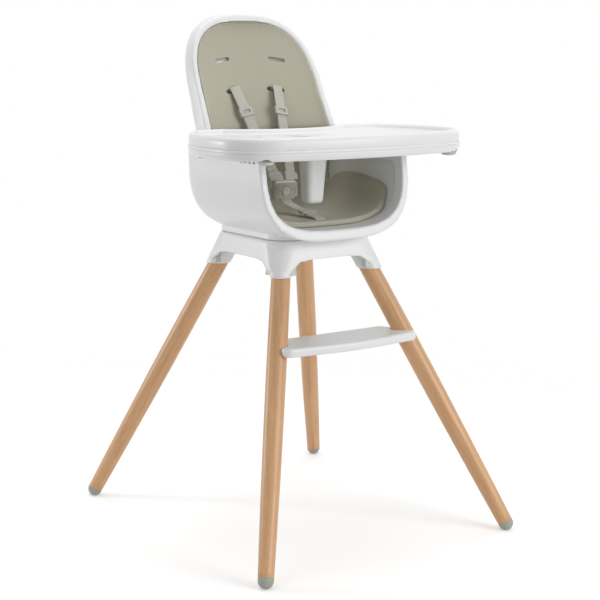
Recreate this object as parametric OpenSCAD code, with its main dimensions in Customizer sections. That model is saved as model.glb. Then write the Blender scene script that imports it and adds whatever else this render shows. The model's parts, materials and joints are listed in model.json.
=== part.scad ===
// Baby high chair: a moulded bucket seat that turns on a four-legged base of beech,
// with a foam pad, a five-point harness, a two-piece tray on arm rails and a footrest.
// Front is -Y, right (seen from the front) is +X, up is +Z. Millimetres.

/* [Legs] */
// Half distance between the left and right leg axes at the floor
leg_foot_x = 276; // [240:1:300]
// Half distance between the front and rear leg axes at the floor
leg_foot_y = 322; // [280:1:345]
// Half distance between the left and right leg axes at the socket mouths
leg_top_x = 100; // [92:1:106]
// Half distance between the front and rear leg axes at the socket mouths
leg_top_y = 108; // [100:1:114]
// Leg diameter where it enters its socket
leg_top_d = 35; // [32:0.5:36]
// Largest leg diameter
leg_mid_d = 36.2; // [33:0.1:40]
// Height of the largest diameter above the floor
leg_mid_z = 360; // [300:5:440]
// Leg diameter above its rubber foot
leg_foot_d = 28; // [24:1:32]
// Height of the straight band above the round end of a foot
foot_band = 3.5; // [2:0.5:12]
// Depth of the small flat that a foot stands on
foot_flat = 0.5; // [0.3:0.1:1.5]
// Diameter of the tenon that the foot is pressed on
tenon_d = 15; // [12:1:17]
// Length of that tenon
tenon_len = 9; // [6:1:10]
// Shank diameter of the leg screws
leg_screw_d = 6; // [5:1:8]
// Depth of the leg screws in the wood
leg_screw_len = 40; // [25:1:60]

/* [Hub] */
// Height of the socket mouths above the floor
socket_z = 490; // [440:1:520]
// Height of the hub from the socket mouths to its flat top
hub_h = 63.5; // [58:0.5:80]
// Outer radius of the round arm at each socket mouth
socket_r = 21; // [20:0.5:24]
// Growth of an arm's radius with height
arm_flare = 0.5; // [0.3:0.05:0.8]
// Corner radius of the hub's top
hub_top_r = 46; // [35:1:55]
// Half width of the hub's top
hub_top_half = 111; // [104:1:114]
// Wall of the hub's skirt
hub_wall = 3.5; // [2.5:0.5:5]
// Thickness of the hub's top plate
hub_plate_t = 6; // [5:0.5:8]
// Height of the arches between the sockets
arch_rise = 28.5; // [20:0.5:32]
// Width of an arch's rounded corner
arch_corner_w = 36; // [20:1:50]
// Height of that corner
arch_corner_h = 25; // [15:1:27]
// Distance from the leg axis to the edge of an arch
arch_margin = 24; // [19:0.5:30]
// Wall of the moulded tube round each leg
socket_wall = 3; // [2.5:0.5:5]
// Thickness of the cover under the hub
cover_t = 3; // [2:0.5:4]
// Reach of the cover's lugs past the leg axes, towards the hub's middle
lug_reach = 22.5; // [21:0.5:30]
// Height of the lugs' lower ends above the socket mouths
lug_gap = 3; // [1:0.5:6]

/* [Footrest] */
// Height of the footrest's top above the floor
footrest_z = 377; // [300:1:420]
// Thickness of the footrest
footrest_t = 17; // [12:1:24]
// Distance of the front edge in front of the leg axes
footrest_front = 55; // [45:1:70]
// Distance of the rear edge behind the leg axes
footrest_rear = 46; // [35:1:60]
// Reach of the ends past the leg axes
footrest_end = 8; // [4:1:12]
// Radius of the footrest's front corners
footrest_r = 16; // [10:1:20]
// Radius along the footrest's upper and lower edges
footrest_edge = 4; // [2:0.5:6]

/* [Swivel] */
// Diameter of the plate under the seat
plate_d = 160; // [130:1:170]
// Thickness of that plate
plate_t = 4; // [3:0.5:5]
// Diameter of its spigot in the hub
spigot_d = 40; // [30:1:50]
// Outer diameter of the glide ring
glide_d = 136; // [110:1:140]
// Width of the glide ring
glide_w = 9; // [6:1:12]
// Depth of the glide ring's groove
groove_t = 2.5; // [1.5:0.5:3]
// Height of the glide ring above the hub's top
glide_rise = 0.4; // [0.3:0.1:1]
// Diameter of the retaining washer
washer_d = 62; // [56:1:70]
// Thickness of the retaining washer
washer_t = 3; // [2:0.5:4]
// Diameter of the swivel bolt
swivel_bolt_d = 10; // [8:1:12]

/* [Seat shell] */
// Depth of the tub from its widest level to its bottom
tub_depth = 146; // [130:1:170]
// Height of the plinth that carries the hub's outline up into the tub
plinth_h = 16; // [8:1:17]
// Half width of the tub
tub_half_w = 164.5; // [150:0.5:180]
// Distance of the tub's front face in front of the centre, at its widest level
front_y = 139; // [120:1:155]
// Lean of the front face
front_lean = 7.6; // [0:0.1:12]
// Distance of the tub's rear behind the centre
tub_rear_y = 152; // [145:1:170]
// Rise of the arms above the widest level
arm_rise = 16; // [10:1:22]
// Height of the backrest above the arms
back_h = 244; // [220:1:280]
// Half width of the backrest
back_half_w = 145; // [130:1:150]
// Height of the backrest's rounded top
back_round_h = 160; // [120:1:180]
// Lean of the backrest's rim
back_lean = 26.3; // [18:0.1:32]
// Distance of that rim behind the centre, at the tub's widest level
rim_y = 46; // [40:1:56]
// Depth of the backrest behind its rim
back_depth = 53; // [50:1:64]
// Radius between the arms and the backrest's rim
arm_fillet_r = 25; // [15:1:35]
// Width of the rim's face round the opening
rim_w = 14; // [10:0.5:16]
// Depth of the thick band behind the rim's face
lip_depth = 29; // [15:1:35]
// Wall of the tub behind that band
shell_wall = 6; // [4:0.5:8]
// Thickness of the tub's floor
floor_t = 20.5; // [18:0.5:24]

/* [Pad] */
// Thickness of the foam behind the back
pad_t = 8; // [6:0.5:10]
// Thickness of the foam on the seat
seat_pad_t = 11; // [9:0.5:16]
// Distance of the foam's front edge in front of the centre
pad_front_y = 110; // [104:1:122]
// Hollow of the back pad in its middle, low down
dish_low = 33; // [24:1:34]
// Hollow of the back pad in its middle, high up
dish_high = 9; // [5:1:14]
// Height of the side wings above the seat's floor
wing_h = 83.5; // [60:0.5:100]
// Clearance between the foam and the shell
pad_gap = 0.3; // [0.2:0.1:1]

/* [Harness] */
// Width of the webbing
strap_w = 21; // [16:1:25]
// Thickness of the webbing
strap_t = 1.6; // [1.2:0.1:2]
// Length of a back slot
slot_len = 36; // [30:1:40]
// Height of a slot
slot_h = 7; // [6:0.5:9]
// Distance from the centre line to the middle of a lower slot
slot_low_x = 48.5; // [44:0.5:60]
// Distance from the centre line to the middle of an upper slot
slot_high_x = 62.5; // [50:0.5:70]
// Height of the lower slots above the arms
slot_low_h = 99.5; // [90:0.5:110]
// Height of the upper slots above the arms
slot_high_h = 157; // [140:0.5:170]
// Slant of the slots
slot_slant = 12.5; // [5:0.5:20]
// Width of the buckle
buckle_w = 50; // [46:1:60]
// Height of the buckle
buckle_h = 36; // [32:1:44]
// Depth of the buckle
buckle_d = 17; // [15:1:22]
// Diameter of the buckle's button
button_d = 19; // [14:1:22]
// Travel of the buckle's button
button_travel = 2; // [1:0.5:3]
// Height of the strap adjusters
adjuster_h = 17; // [14:1:22]

/* [Tray] */
// Half width of the tray at its parting line
tray_half_w = 256; // [235:1:262]
// Distance of the tray's front edge in front of the centre
tray_front_y = 256; // [240:1:265]
// Distance of the tray's widest place in front of the centre
tray_wide_y = 128; // [110:1:140]
// Distance of the tray's rear ends behind the centre
tray_rear_y = 43; // [30:1:45]
// Height of the tray's base below the parting line
base_h = 18; // [16:1:24]
// Height of the tray insert above the parting line
insert_h = 22; // [18:1:26]
// Depth of the insert's floor below its rim
insert_floor = 9; // [6:1:11]
// Wall of the tray's two mouldings
tray_wall = 3.5; // [2.5:0.5:5]
// Radius of the tray's long sides
tray_side_r = 300; // [280:10:420]
// Radius of the tray's long front edge
tray_edge_r = 900; // [700:50:2000]
// Radius of the tray's front corners
tray_front_r = 92; // [60:1:100]
// Radius of the tray's rear corners
tray_rear_r = 52; // [40:1:60]
// Distance from the centre to the middle of the cut-out at the child's side
cutout_y = 15; // [5:1:30]
// Radius of that cut-out
cutout_r = 175; // [160:1:220]
// Diameter of the round recess for a cup
cup_d = 86; // [70:1:90]
// Depth of that recess
cup_depth = 3; // [2:0.5:4]
// Depth of the rails on the arms
rail_depth = 6; // [4:1:12]
// Thickness of the rails' sides
rail_t = 4; // [3:0.5:6]
// Diameter of the release buttons under the front corners
release_d = 29; // [22:1:32]
// Travel of the release buttons
release_travel = 3; // [2:0.5:4]

/* [Crotch post] */
// Width of the post under the tray
post_w = 47; // [38:1:50]
// Depth of the post under the tray
post_d = 45; // [38:1:50]
// Width of the post at its lower end
post_low_w = 38; // [28:1:40]
// Distance from the centre to the post's front face
post_front_y = 88; // [75:1:92]
// Gap between the post and the seat pad
post_gap = 27.5; // [20:0.5:40]

/* [Hidden] */
$fn = 48;

fit = 0.05;            // radial clearance of a pin in its bore
gap = 0.3;             // clearance between pieces that only lie near each other
eps = 0.01;

// Levels above the floor
hub_top_z = socket_z + hub_h;
plate_z = hub_top_z + glide_rise;
tub_bottom_z = plate_z + gap;
wide_z = tub_bottom_z + tub_depth;
arm_z = wide_z + arm_rise;
back_top_z = arm_z + back_h;
round_z = back_top_z - back_round_h;
floor_z = tub_bottom_z + floor_t;
pad_z = floor_z + seat_pad_t;
parting_z = arm_z + tray_wall + gap + 8;
tray_bottom_z = parting_z - base_h;
tray_top_z = parting_z + insert_h;

white = [0.93, 0.94, 0.94];
foam = [0.74, 0.73, 0.66];
beech = [0.80, 0.60, 0.42];
grey = [0.60, 0.62, 0.61];
webbing = [0.78, 0.78, 0.76];
steel = [0.70, 0.71, 0.73];

// ---------- shared functions ----------

function mix(a, b, t) = a + (b - a) * t;
function ease(t) = let (u = min(1, max(0, t))) u * u * (3 - 2 * u);
function bulge(t, power) = pow(max(0, 1 - pow(min(1, abs(t)), power)), 1 / power);
function unit(v) = v / norm(v);
function arc(centre, r, from, to, steps) =
    [for (i = [0 : steps]) centre + r * [cos(mix(from, to, i / steps)), sin(mix(from, to, i / steps))]];

// A solid through a stack of rings with the same number of points, lowest first
module loft(rings) {
    n = len(rings[0]);
    last = (len(rings) - 1) * n;
    sides = [for (i = [0 : len(rings) - 2], j = [0 : n - 1])
        [i * n + j, (i + 1) * n + j, (i + 1) * n + (j + 1) % n, i * n + (j + 1) % n]];
    caps = [[for (j = [0 : n - 1]) j], [for (j = [n - 1 : -1 : 0]) last + j]];
    polyhedron([for (ring = rings) each ring], concat(sides, caps), convexity = 6);
}

// A flat strap along a path, its width along the vector across
module ribbon(path, across, w, t) {
    n = len(path);
    side = unit(across);
    rings = [for (i = [0 : n - 1])
        let (along = unit(path[min(i + 1, n - 1)] - path[max(i - 1, 0)]), up = unit(cross(along, side)))
        [path[i] + side * w / 2 + up * t / 2, path[i] - side * w / 2 + up * t / 2,
         path[i] - side * w / 2 - up * t / 2, path[i] + side * w / 2 - up * t / 2]];
    loft(rings);
}

module stadium(len, wide) {
    square([len - wide, wide], center = true);
    for (s = [-1, 1]) translate([s * (len - wide) / 2, 0]) circle(d = wide, $fn = 24);
}

// ---------- legs and feet ----------

leg_run_x = leg_foot_x - leg_top_x;
leg_run_y = leg_foot_y - leg_top_y;
leg_tilt = atan2(norm([leg_run_x, leg_run_y]), socket_z);
leg_yaw = atan2(leg_run_y, leg_run_x);
function leg_s(z) = z / cos(leg_tilt);
function leg_x(z) = leg_foot_x - leg_run_x * z / socket_z;
function leg_y(z) = leg_foot_y - leg_run_y * z / socket_z;
leg_end_z = hub_top_z - hub_plate_t - leg_top_d / 2 * sin(leg_tilt) - 3;
leg_end_s = leg_s(leg_end_z);
foot_s = leg_s(leg_foot_d / 2 - foot_flat);
leg_start_s = foot_s + foot_band;
mouth_s = leg_s(socket_z);

// The legs swell from the foot to leg_mid_z and narrow a little towards the socket
function leg_r(s) = let (mid_s = leg_s(leg_mid_z), below = s < mid_s)
    leg_mid_d / 2 - (leg_mid_d - (below ? leg_foot_d : leg_top_d)) / 2
        * pow((s - mid_s) / (below ? leg_start_s - mid_s : mouth_s - mid_s), 2);
leg_turn = 70;         // turn of a leg about its own axis
leg_chamfer = 1.5;
bore_run = 60;         // how far below a socket's mouth the cutter of its bore starts
screw_seat = 7;        // wood screw head above the leg's end
screw_head_d = 11;
screw_head_h = 4;

CORNERS = [[-1, -1], [1, -1], [-1, 1], [1, 1]];

// The frame of one leg: local z runs up the leg from the floor
module on_leg(c) {
    translate([c[0] * leg_foot_x, c[1] * leg_foot_y, 0])
        rotate([0, leg_tilt, atan2(-c[1] * leg_run_y, -c[0] * leg_run_x)])
        rotate([0, 0, leg_turn]) children();
}

module leg(c) {
    color(beech) on_leg(c) difference() {
        rotate_extrude() polygon(concat(
            [[0, leg_start_s - tenon_len], [tenon_d / 2, leg_start_s - tenon_len]],
            [[tenon_d / 2, leg_start_s]],
            [for (i = [0 : 10]) let (s = mix(leg_start_s, mouth_s, i / 10)) [leg_r(s), s]],
            [[leg_top_d / 2, leg_end_s - leg_chamfer], [leg_top_d / 2 - leg_chamfer, leg_end_s], [0, leg_end_s]]));
        translate([0, 0, leg_end_s - leg_screw_len - 1])
            cylinder(h = leg_screw_len + 2, d = leg_screw_d + 2 * fit);
    }
}

// A front leg has a bore for the footrest's screw
module front_leg(side) {
    color(beech) difference() {
        leg([side, -1]);
        at_footrest_screw(side) cylinder(h = footrest_screw_len + 1, d = footrest_screw_d + 2 * fit);
    }
}

// A rubber cap with a round end, which stands on a small flat
module foot(c) {
    r = leg_foot_d / 2;
    color(grey) intersection() {
        on_leg(c) difference() {
            translate([0, 0, foot_s]) rotate_extrude()
                polygon(concat(arc([0, 0], r, -90, 0, 12), [[r, foot_band], [0, foot_band]]));
            translate([0, 0, leg_start_s - tenon_len - 0.5])
                cylinder(h = tenon_len + 1, d = tenon_d + 2 * fit);
        }
        translate([-500, -500, 0]) cube([1000, 1000, 100]);
    }
}

module leg_screws() {
    for (c = CORNERS) color(steel) on_leg(c) {
        translate([0, 0, leg_end_s - leg_screw_len])
            cylinder(h = leg_screw_len + screw_seat + eps, d = leg_screw_d);
        translate([0, 0, leg_end_s + screw_seat]) cylinder(h = screw_head_h, d = screw_head_d);
    }
}

// ---------- hub ----------

hub_top_y = hub_top_half + 3;
edge_drop = 2;         // rounding along the hub's upper edge

// Four round corners at the hub's top, one above the other's edge
module hub_corners(inset, z, h) {
    for (c = CORNERS)
        translate([c[0] * (hub_top_half - hub_top_r), c[1] * (hub_top_y - hub_top_r), z])
            cylinder(h = h, r = hub_top_r - inset, $fn = 32);
}

// The hub's skin, moved inwards by inset, down to a level below the socket mouths
module hub_form(inset, low) {
    intersection() {
        hull() {
            for (c = CORNERS) on_leg(c) translate([0, 0, mouth_s - 30])
                cylinder(h = 2, r = socket_r - inset, $fn = 28);
            hub_corners(inset, hub_top_z - 6, 6 - edge_drop);
            hub_corners(inset + edge_drop, hub_top_z - 6, 6);
        }
        translate([-200, -200, socket_z - low]) cube([400, 400, hub_h + low + 1]);
    }
}

// Round arms that grow into the hub's skirt
module arm_space() {
    translate([-200, -200, socket_z + arch_rise - 2.5]) cube([400, 400, hub_h]);
    r = socket_r + 0.4;
    for (c = CORNERS) on_leg(c) translate([0, 0, mouth_s])
        rotate_extrude($fn = 28) polygon([[0, -30], [r, -30], [r, 0], [r + 50 * arm_flare, 50], [0, 50]]);
}

module arch_profile(half) {
    low = arch_rise - arch_corner_h;
    translate([-half, -20]) square([2 * half, 20 + low]);
    translate([-half + arch_corner_w, 0]) square([2 * (half - arch_corner_w), arch_rise]);
    for (s = [-1, 1]) translate([s * (half - arch_corner_w), low])
        scale([arch_corner_w, arch_corner_h]) circle(r = 1, $fn = 40);
}

module arches() {
    translate([0, 0, socket_z]) {
        rotate([90, 0, 0]) linear_extrude(400, center = true) arch_profile(leg_top_x - arch_margin);
        rotate([90, 0, 90]) linear_extrude(400, center = true) arch_profile(leg_top_y - arch_margin);
    }
}

module leg_bores(d) {
    for (c = CORNERS) on_leg(c) translate([0, 0, mouth_s - bore_run])
        cylinder(h = leg_end_s - mouth_s + bore_run + gap, d = d);
}

module hub_shell() {
    socket_d = leg_top_d + 2 * socket_wall;
    color(white) difference() {
        resize([0, 0, 0]) difference() {
            intersection() {
                hub_form(0, 0);
                arm_space();
            }
            difference() {
                hub_form(hub_wall, 10);
                for (c = CORNERS) on_leg(c)
                    translate([0, 0, mouth_s - bore_run]) cylinder(h = 200, d = socket_d, $fn = 28);
                translate([-200, -200, hub_top_z - hub_plate_t]) cube([400, 400, 40]);
            }
            arches();
        }
        leg_bores(leg_top_d + 2 * fit);
        for (c = CORNERS) on_leg(c) {
            translate([0, 0, leg_end_s]) cylinder(h = 60, d = leg_screw_d + 2 * fit);
            translate([0, 0, leg_end_s + screw_seat]) cylinder(h = 60, d = screw_head_d + 1);
        }
        translate([0, 0, hub_top_z - hub_plate_t - 1]) cylinder(h = hub_plate_t + 2, d = spigot_d + 2 * fit);
        translate([0, 0, hub_top_z - groove_t]) difference() {
            cylinder(h = groove_t + 1, d = glide_d + 2 * gap);
            translate([0, 0, -1]) cylinder(h = groove_t + 3, d = glide_d - 2 * glide_w - 2 * gap);
        }
    }
}

cover_z = socket_z + arch_rise + 2;
cover_screw_d = 4;
cover_screw_x = 52;

// A flat cover with a lug beside each leg, seen through the arches
module hub_cover() {
    inner_d = leg_top_d + 2 * socket_wall + 2 * gap;
    low_z = socket_z + lug_gap;
    color(grey) difference() {
        resize([0, 0, 0]) difference() {
            intersection() {
                hub_form(hub_wall + gap, 10);
                union() {
                    translate([-200, -200, cover_z]) cube([400, 400, cover_t]);
                    for (c = CORNERS) translate([c[0] * leg_top_x, c[1] * leg_top_y, low_z])
                        linear_extrude(cover_z + cover_t - low_z) square(2 * lug_reach, center = true);
                }
            }
            for (c = CORNERS) on_leg(c)
                translate([0, 0, mouth_s - bore_run]) cylinder(h = 200, d = inner_d + gap, $fn = 28);
            translate([0, 0, low_z - 1])
                cylinder(h = cover_z - low_z + 1, r = norm([leg_top_x, leg_top_y]) - socket_r, $fn = 96);
        }
        for (s = [-1, 1]) translate([s * cover_screw_x, 0, cover_z - 1])
            cylinder(h = cover_t + 2, d = cover_screw_d + 2 * fit);
        cylinder(h = 900, d = 30);
    }
}

module hub_cover_screws() {
    for (s = [-1, 1]) color(steel) translate([s * cover_screw_x, 0, 0]) {
        translate([0, 0, cover_z - 2]) cylinder(h = 2, d = 8);
        translate([0, 0, cover_z - eps]) cylinder(h = hub_top_z - hub_plate_t - cover_z, d = cover_screw_d);
    }
}

// ---------- footrest ----------

module footrest_outline(inset) {
    x = leg_x(footrest_z) + footrest_end;
    y = leg_y(footrest_z);
    hull() {
        for (s = [-1, 1]) {
            translate([s * (x - footrest_r), -y - footrest_front + footrest_r + 12])
                circle(r = footrest_r - inset, $fn = 32);
            translate([s * (x - 34), -y + footrest_rear - 14]) circle(r = 12 - inset, $fn = 32);
        }
        translate([0, -y - footrest_front + 420]) intersection() {
            circle(r = 420 - inset, $fn = 150);
            translate([-90, -421]) square([180, 40]);
        }
    }
}

footrest_screw_d = 5;
footrest_screw_len = 32;
footrest_screw_inset = 38;

// Frame of a footrest screw: local z runs from the underside's pocket into the leg
module at_footrest_screw(side) {
    z = footrest_z - footrest_t / 2;
    translate([side * (leg_x(footrest_z) - footrest_screw_inset), -leg_y(z), z])
        rotate([0, side * 90, 0]) children();
}

module footrest() {
    e = footrest_edge;
    z = footrest_z - footrest_t;
    color(white) difference() {
        hull() {
            translate([0, 0, z]) linear_extrude(footrest_t) footrest_outline(e);
            translate([0, 0, z + 0.3 * e]) linear_extrude(footrest_t - 0.6 * e) footrest_outline(0.3 * e);
            translate([0, 0, z + e]) linear_extrude(footrest_t - 2 * e) footrest_outline(0);
        }
        for (s = [-1, 1]) {
            on_leg([s, -1]) cylinder(h = mouth_s, d = 2 * leg_r(leg_s(footrest_z)) + 2 * fit);
            translate([s * (leg_x(footrest_z) - footrest_screw_inset - 7), -leg_y(z + footrest_t / 2), z - 1])
                linear_extrude(footrest_t - 2.5) square([14, 14], center = true);
            at_footrest_screw(s) translate([0, 0, -1]) cylinder(h = 40, d = footrest_screw_d + 2 * fit);
        }
    }
}

module footrest_screws() {
    for (s = [-1, 1]) color(steel) at_footrest_screw(s) {
        translate([0, 0, -2]) cylinder(h = footrest_screw_len + 2, d = footrest_screw_d);
        translate([0, 0, -3]) cylinder(h = 3 - eps, d = 9);
    }
}

// ---------- swivel ----------

module glide_ring() {
    color(grey) translate([0, 0, hub_top_z - groove_t]) difference() {
        cylinder(h = groove_t + glide_rise, d = glide_d, $fn = 96);
        translate([0, 0, -1]) cylinder(h = groove_t + glide_rise + 2, d = glide_d - 2 * glide_w, $fn = 96);
    }
}

plate_screw_x = 54;
plate_screw_y = 40;
plate_screw_d = 4;
plate_screw_head = 2;
plate_screw_grip = 7;  // depth of the plate screws in the shell's floor
spigot_len = glide_rise + hub_plate_t + gap;

module swivel_plate() {
    color(grey) difference() {
        union() {
            translate([0, 0, plate_z]) cylinder(h = plate_t, d = plate_d, $fn = 96);
            translate([0, 0, plate_z - spigot_len]) cylinder(h = spigot_len + eps, d = spigot_d);
        }
        translate([0, 0, plate_z - spigot_len - 1])
            cylinder(h = spigot_len + plate_t + 2, d = swivel_bolt_d + 2 * fit);
        for (c = CORNERS) translate([c[0] * plate_screw_x, c[1] * plate_screw_y, plate_z - 1]) {
            cylinder(h = plate_t + 2, d = plate_screw_d + 2 * fit);
            cylinder(h = plate_screw_head + 1.2, d = 2 * plate_screw_d + 0.4);
        }
    }
}

module swivel_washer() {
    color(steel) translate([0, 0, plate_z - spigot_len - washer_t]) difference() {
        cylinder(h = washer_t, d = washer_d, $fn = 64);
        translate([0, 0, -1]) cylinder(h = washer_t + 2, d = swivel_bolt_d + 2 * fit);
    }
}

module swivel_bolt() {
    z = plate_z - spigot_len - washer_t;
    color(steel) {
        translate([0, 0, z - 6]) cylinder(h = 6, d = 17, $fn = 6);
        translate([0, 0, z - eps]) cylinder(h = plate_z + plate_t + 8 - z, d = swivel_bolt_d);
    }
}

module plate_screws() {
    for (c = CORNERS) color(steel) translate([c[0] * plate_screw_x, c[1] * plate_screw_y, plate_z + 0.2]) {
        cylinder(h = plate_screw_head, d = 2 * plate_screw_d);
        cylinder(h = plate_t + plate_screw_grip, d = plate_screw_d);
    }
}

// ---------- seat shell ----------

side_start_y = 60;     // where the tub's straight sides end
flare_h = 32;          // height over which the tub narrows into the backrest
rim_flat = 6;          // straight stretch of the backrest's sides behind its rim
rim_slope = tan(back_lean);
front_slope = tan(front_lean);
function rim_line(z) = rim_y + (z - wide_z) * rim_slope;
function front_line(z) = -front_y - (wide_z - z) * front_slope;
function flare(z) = ease((z - arm_z) / flare_h);
function rear_flare(z) = ease((z - arm_z + 20) / (flare_h + 20));
function tub_level(z, depth, power) = bulge(max(0, wide_z - z) / depth, power);
function back_level(z, low, round_h, power) =
    bulge(max(0, z - round_z) / round_h, power) * (1 + max(0, round_z - z) * low);

// One level of a seat surface: half width, start of the rear curve, its depth and its power
function outer_level(z) = let (t = flare(z)) [
    mix(tub_half_w * tub_level(z, tub_depth, 3.2),
        back_half_w * back_level(z, 0.0005, back_round_h, 2.7), t),
    mix(side_start_y, rim_line(z) + rim_flat, t),
    mix((tub_rear_y - side_start_y) * tub_level(z, tub_depth, 3),
        back_depth - rim_flat - 0.115 * max(0, z - round_z + 18), t),
    mix(4, 7, t)];

// Hollow of the back pad behind the rim, at the centre line
function dish(z) = min(dish_low, mix(dish_low, dish_high, (z - round_z + 22) / (back_round_h + 6)));

function bed_level(z, side_wall, inset) = let (t = rear_flare(z), depth = tub_depth - floor_t) [
    mix((tub_half_w - side_wall - inset) * tub_level(z, depth - inset, 3.5),
        (back_half_w - rim_w + 2 - inset) * back_level(z, 0.0003, back_round_h - rim_w - inset, 3), flare(z)),
    mix(side_start_y, rim_line(z) + 1, t),
    mix((tub_rear_y - shell_wall - inset - side_start_y) * tub_level(z, depth - inset, 3),
        (dish(z) + pad_t - inset) / cos(back_lean), t),
    mix(4, 1.9, t)];

function face_level(z) = let (t = rear_flare(z), depth = wide_z - pad_z) [
    mix((tub_half_w - shell_wall - pad_t) * tub_level(z, depth, 3.5),
        (back_half_w - rim_w - 0.5) * back_level(z, 0.0003, back_round_h - rim_w - 2.5, 3), flare(z)),
    mix(side_start_y, rim_line(z) + 2, t),
    mix((tub_rear_y - shell_wall - pad_t - side_start_y) * tub_level(z, depth, 3),
        dish(z) / cos(back_lean), t),
    mix(4, 1.5, t)];

// How far behind the centre a level's rear curve lies at a distance from the centre line
function rear_y(lv, x) = lv[1] + lv[2] * bulge(x / lv[0], lv[3]);

function level_ring(z, lv) = let (w = lv[0], y0 = lv[1], deep = lv[2], p = 2 / lv[3], steps = 8) concat(
    [[w, -400, z]],
    [for (i = [0 : steps]) let (a = 90 * i / steps) [w * pow(cos(a), p), y0 + deep * pow(sin(a), p), z]],
    [for (i = [steps - 1 : -1 : 0]) let (a = 90 * i / steps) [-w * pow(cos(a), p), y0 + deep * pow(sin(a), p), z]],
    [[-w, -400, z]]);

// Levels from the bottom of a tub to the top of a rounded back, closer together where it curves
function seat_levels(depth, round_h, grow) = concat(
    [for (a = [84 : -12 : 12]) wide_z - depth * pow(sin(a), 2 / 3.2)],
    [wide_z],
    [for (t = [-0.15 : 0.25 : 0.9]) arm_z + flare_h * t],
    [for (i = [0 : 2]) mix(arm_z + flare_h, round_z, i / 2)],
    [for (a = [15 : 12 : 75]) round_z + round_h * pow(sin(a), 2 / 2.7)],
    [round_z + round_h * 0.998 + grow]);

module outer_loft() {
    loft([for (z = seat_levels(tub_depth, back_round_h, 0)) level_ring(z, outer_level(z))]);
}

module bed_loft(side_wall, inset) {
    loft([for (z = seat_levels(tub_depth - floor_t - inset, back_round_h - rim_w - inset, 0))
        level_ring(z, bed_level(z, side_wall, inset))]);
}

module face_loft() {
    loft([for (z = seat_levels(wide_z - pad_z, back_round_h - rim_w - 2.5, 0)) level_ring(z, face_level(z))]);
}

// Side view of the shell: front face, arm top, fillet and leaning rim
module side_view() {
    turn = (90 - back_lean) / 2;
    fillet_y = rim_line(arm_z) - arm_fillet_r * tan(turn);
    top_z = back_top_z + 20;
    low_z = tub_bottom_z - 20;
    corner = [front_line(arm_z) + 10, arm_z - 10];
    polygon(concat(
        [[300, low_z], [front_line(low_z), low_z]],
        [for (p = arc(corner, 10, 180, 90, 4)) p],
        arc([fillet_y, arm_z + arm_fillet_r], arm_fillet_r, -90, -back_lean, 6),
        [[rim_line(top_z), top_z], [300, top_z]]));
}

module across_seat(half) {
    rotate([90, 0, 90]) translate([0, 0, -half]) linear_extrude(2 * half) children();
}

module behind_lip() {
    across_seat(250) polygon([
        [300, tub_bottom_z - 20], [front_line(tub_bottom_z - 20) + lip_depth, tub_bottom_z - 20],
        [front_line(arm_z - lip_depth) + lip_depth, arm_z - lip_depth], [300, arm_z - lip_depth]]);
}

// Frame of a back slot: local x along the slot, local z through the back
function slot_y(x, z) = rim_line(z) + dish(z) * (1 - pow(x / back_half_w, 2)) / cos(back_lean);
module at_slot(side, x, z) {
    translate([side * x, slot_y(x, z), z])
        rotate([-90 - back_lean, 0, 0]) rotate([0, 0, side * slot_slant]) children();
}

module back_slots(grow) {
    for (side = [-1, 1], p = [[slot_low_x, arm_z + slot_low_h], [slot_high_x, arm_z + slot_high_h]])
        at_slot(side, p[0], p[1])
            translate([0, 0, -30]) linear_extrude(90) stadium(slot_len + grow, slot_h + grow);
}

crotch_y = -92;
waist_x = 85;
waist_z = pad_z + 42;
waist_end_y = rear_y(bed_level(waist_z - strap_w / 2 - 1.5, shell_wall, 0), waist_x + 3) - 0.6;
notch_y = [-78, -92, -106, -120];
long_slot_y = 50;
long_slot_len = 36;
anchor_bed = 8;        // depth of the crotch anchor's bed in the floor

module crotch_slot(grow) {
    translate([0, crotch_y, tub_bottom_z - 5])
        linear_extrude(floor_t + seat_pad_t + 30) stadium(strap_w + 6 + grow, slot_h + grow);
}

// The foot of the shell, in line with the hub's skin
module plinth() {
    inset = plinth_h * (leg_top_x + socket_r - hub_top_half) / hub_h + 4;
    hull() {
        hub_corners(edge_drop, tub_bottom_z, 0.5);
        hub_corners(0.5, tub_bottom_z + edge_drop, 0.5);
        hub_corners(inset, tub_bottom_z + plinth_h - 0.5, 0.5);
    }
}

module seat_shell() {
    color(white) resize([0, 0, 0]) difference() {
        union() {
            intersection() {
                outer_loft();
                across_seat(250) side_view();
            }
            plinth();
        }
        bed_loft(rim_w, 0);
        intersection() {
            bed_loft(shell_wall, 0);
            behind_lip();
        }
        back_slots(0);
        crotch_slot(0);
        translate([0, crotch_y, tub_bottom_z - 5]) linear_extrude(5 + anchor_bed) square([36, 16], center = true);
        for (s = [-1, 1], y = notch_y)
            translate([s * tub_half_w, y, wide_z - 1]) cube([6, 8, 4], center = true);
        for (s = [-1, 1]) translate([s * tub_half_w, long_slot_y, wide_z - 3])
            cube([6, long_slot_len, 3], center = true);
        translate([0, 0, plate_z - 20]) cylinder(h = 20 + plate_t, d = plate_d + 2 * gap, $fn = 96);
        for (c = CORNERS) translate([c[0] * plate_screw_x, c[1] * plate_screw_y, plate_z])
            cylinder(h = plate_t + plate_screw_grip + 0.5, d = plate_screw_d + 4 * fit, $fn = 24);
        translate([0, 0, plate_z]) cylinder(h = plate_t + 8.5, d = swivel_bolt_d + 4 * fit);
    }
}

// ---------- pad ----------

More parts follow.
